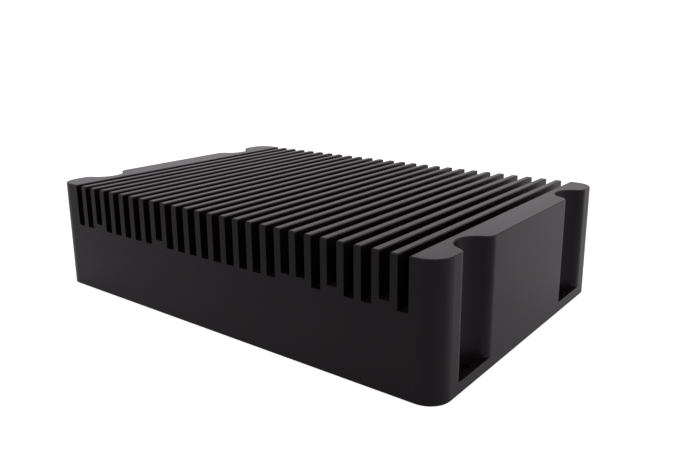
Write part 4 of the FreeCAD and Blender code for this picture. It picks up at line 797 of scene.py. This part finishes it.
def studio_floor():
    """A wide pale floor, white to the camera, with the object's soft shadow; clear from below."""
    mesh = bpy.data.meshes.new("studio_floor")
    shape = bmesh.new()
    bmesh.ops.create_grid(shape, x_segments=1, y_segments=1, size=FLOOR_SIZE)
    bmesh.ops.translate(shape, vec=(0, 0, -FLOOR_BELOW), verts=shape.verts)
    shape.to_mesh(mesh)
    shape.free()
    floor = bpy.data.objects.new("studio_floor", mesh)
    bpy.context.scene.collection.objects.link(floor)
    paint = bpy.data.materials.new("floor_paint")
    paint.use_nodes = True
    paint.node_tree.nodes.clear()
    nodes = Nodes(paint.node_tree)
    matt = nodes.add("ShaderNodeBsdfDiffuse", None, {"Color": FLOOR_PAINT})
    place = nodes.add("ShaderNodeTexCoord", output="Object")
    back = nodes.add("ShaderNodeSeparateXYZ", None, {"Vector": place}, "Y")
    gloss = nodes.add("ShaderNodeMapRange", {"interpolation_type": "SMOOTHSTEP"},
                      {"Value": back, "From Min": FLOOR_GLOSS_RUN[0],
                       "From Max": FLOOR_GLOSS_RUN[1], "To Min": FLOOR_GLOSS_NEAR,
                       "To Max": FLOOR_GLOSS_FAR})
    clear = nodes.rays("Is Camera Ray") | nodes.rays("Is Transmission Ray")
    glossy = nodes.rays("Is Glossy Ray")
    tone = nodes.mix(glossy * (1 - clear), WHITE, FLOOR_GLOSS_TINT)
    lit = nodes.add("ShaderNodeEmission", None,
                    {"Color": tone, "Strength": (clear | glossy * gloss) * FLOOR_LIFT})
    from_above = nodes.add("ShaderNodeAddShader", None, {0: matt, 1: lit})
    from_below = nodes.add("ShaderNodeBsdfTransparent")
    below = nodes.add("ShaderNodeNewGeometry", output="Backfacing")
    seen = nodes.add("ShaderNodeMixShader", None, {0: below, 1: from_above, 2: from_below})
    surface = paint.node_tree.nodes.new("ShaderNodeOutputMaterial").inputs["Surface"]
    nodes.put(surface, seen)
    mesh.materials.append(paint)


SURROUND_LEVEL = 0.72
SURROUND_GLOSS_LIFT = 0.13
SURROUND_GLOSS_TINT = (1, 0.95, 0.98)


def studio_world():
    """Even pale surroundings at a plain level, white to the camera and through clear plastic."""
    world = bpy.data.worlds.new("studio_world")
    bpy.context.scene.world = world
    world.use_nodes = True
    nodes = Nodes(world.node_tree)
    surround = world.node_tree.nodes["Background"]
    clear = nodes.rays("Is Camera Ray") | nodes.rays("Is Transmission Ray")
    glossy = nodes.rays("Is Glossy Ray")
    soft = glossy * SURROUND_GLOSS_LIFT + SURROUND_LEVEL
    nodes.put(surround.inputs["Color"], nodes.mix(glossy, WHITE, SURROUND_GLOSS_TINT))
    nodes.put(surround.inputs["Strength"], clear + (1 - clear) * soft)


LAMP_TARGET = Vector((0, 0, 0.03))


def softbox(name, place, width, height, power, colour=WHITE):
    """A large soft lamp, aimed at the object."""
    lamp = bpy.data.lights.new(name, "AREA")
    lamp.shape = "RECTANGLE"
    lamp.size = width
    lamp.size_y = height
    lamp.energy = power
    lamp.color = colour
    item = bpy.data.objects.new(name, lamp)
    bpy.context.scene.collection.objects.link(item)
    item.location = place
    aim = LAMP_TARGET - Vector(place)
    item.rotation_euler = aim.to_track_quat("-Z", "Y").to_euler()


CAMERA_PLACE = (0.2391, -0.2906, 0.1374)
CAMERA_YAW = 0.669
CAMERA_PITCH = 0.2434
CAMERA_ROLL = -0.0108
CAMERA_SENSOR = 36.0
CAMERA_LENS = 36.1
CAMERA_SHIFT = (0.0176, -0.0275)
CAMERA_CLIP = (0.01, 100)


def set_camera():
    """Thirty-eight degrees round to the right, fourteen degrees down."""
    ahead = Vector((-math.sin(CAMERA_YAW) * math.cos(CAMERA_PITCH),
                    math.cos(CAMERA_YAW) * math.cos(CAMERA_PITCH), -math.sin(CAMERA_PITCH)))
    level = Vector((math.cos(CAMERA_YAW), math.sin(CAMERA_YAW), 0))
    upright = level.cross(ahead)
    right = math.cos(CAMERA_ROLL) * level + math.sin(CAMERA_ROLL) * upright
    up = math.cos(CAMERA_ROLL) * upright - math.sin(CAMERA_ROLL) * level
    lens = bpy.data.cameras.new("camera")
    lens.sensor_width = CAMERA_SENSOR
    lens.lens = CAMERA_LENS
    lens.shift_x, lens.shift_y = CAMERA_SHIFT
    lens.clip_start, lens.clip_end = CAMERA_CLIP
    item = bpy.data.objects.new("camera", lens)
    bpy.context.scene.collection.objects.link(item)
    turn = Matrix((right, up, -ahead)).transposed().to_4x4()
    item.matrix_world = Matrix.Translation(CAMERA_PLACE) @ turn
    bpy.context.scene.camera = item


studio_floor()
studio_world()
softbox("overhead_light", (-0.15, 0.25, 1.1), width=1.2, height=1.2, power=5)
softbox("back_light", (-1.3, 1.4, 0.75), width=1.8, height=1.1, power=1.0,
        colour=(1.0, 0.8, 0.9))
softbox("side_light", (0.75, 1.1, 0.16), width=0.9, height=0.3, power=0.9)
set_camera()
bpy.context.scene.view_settings.view_transform = "Standard"
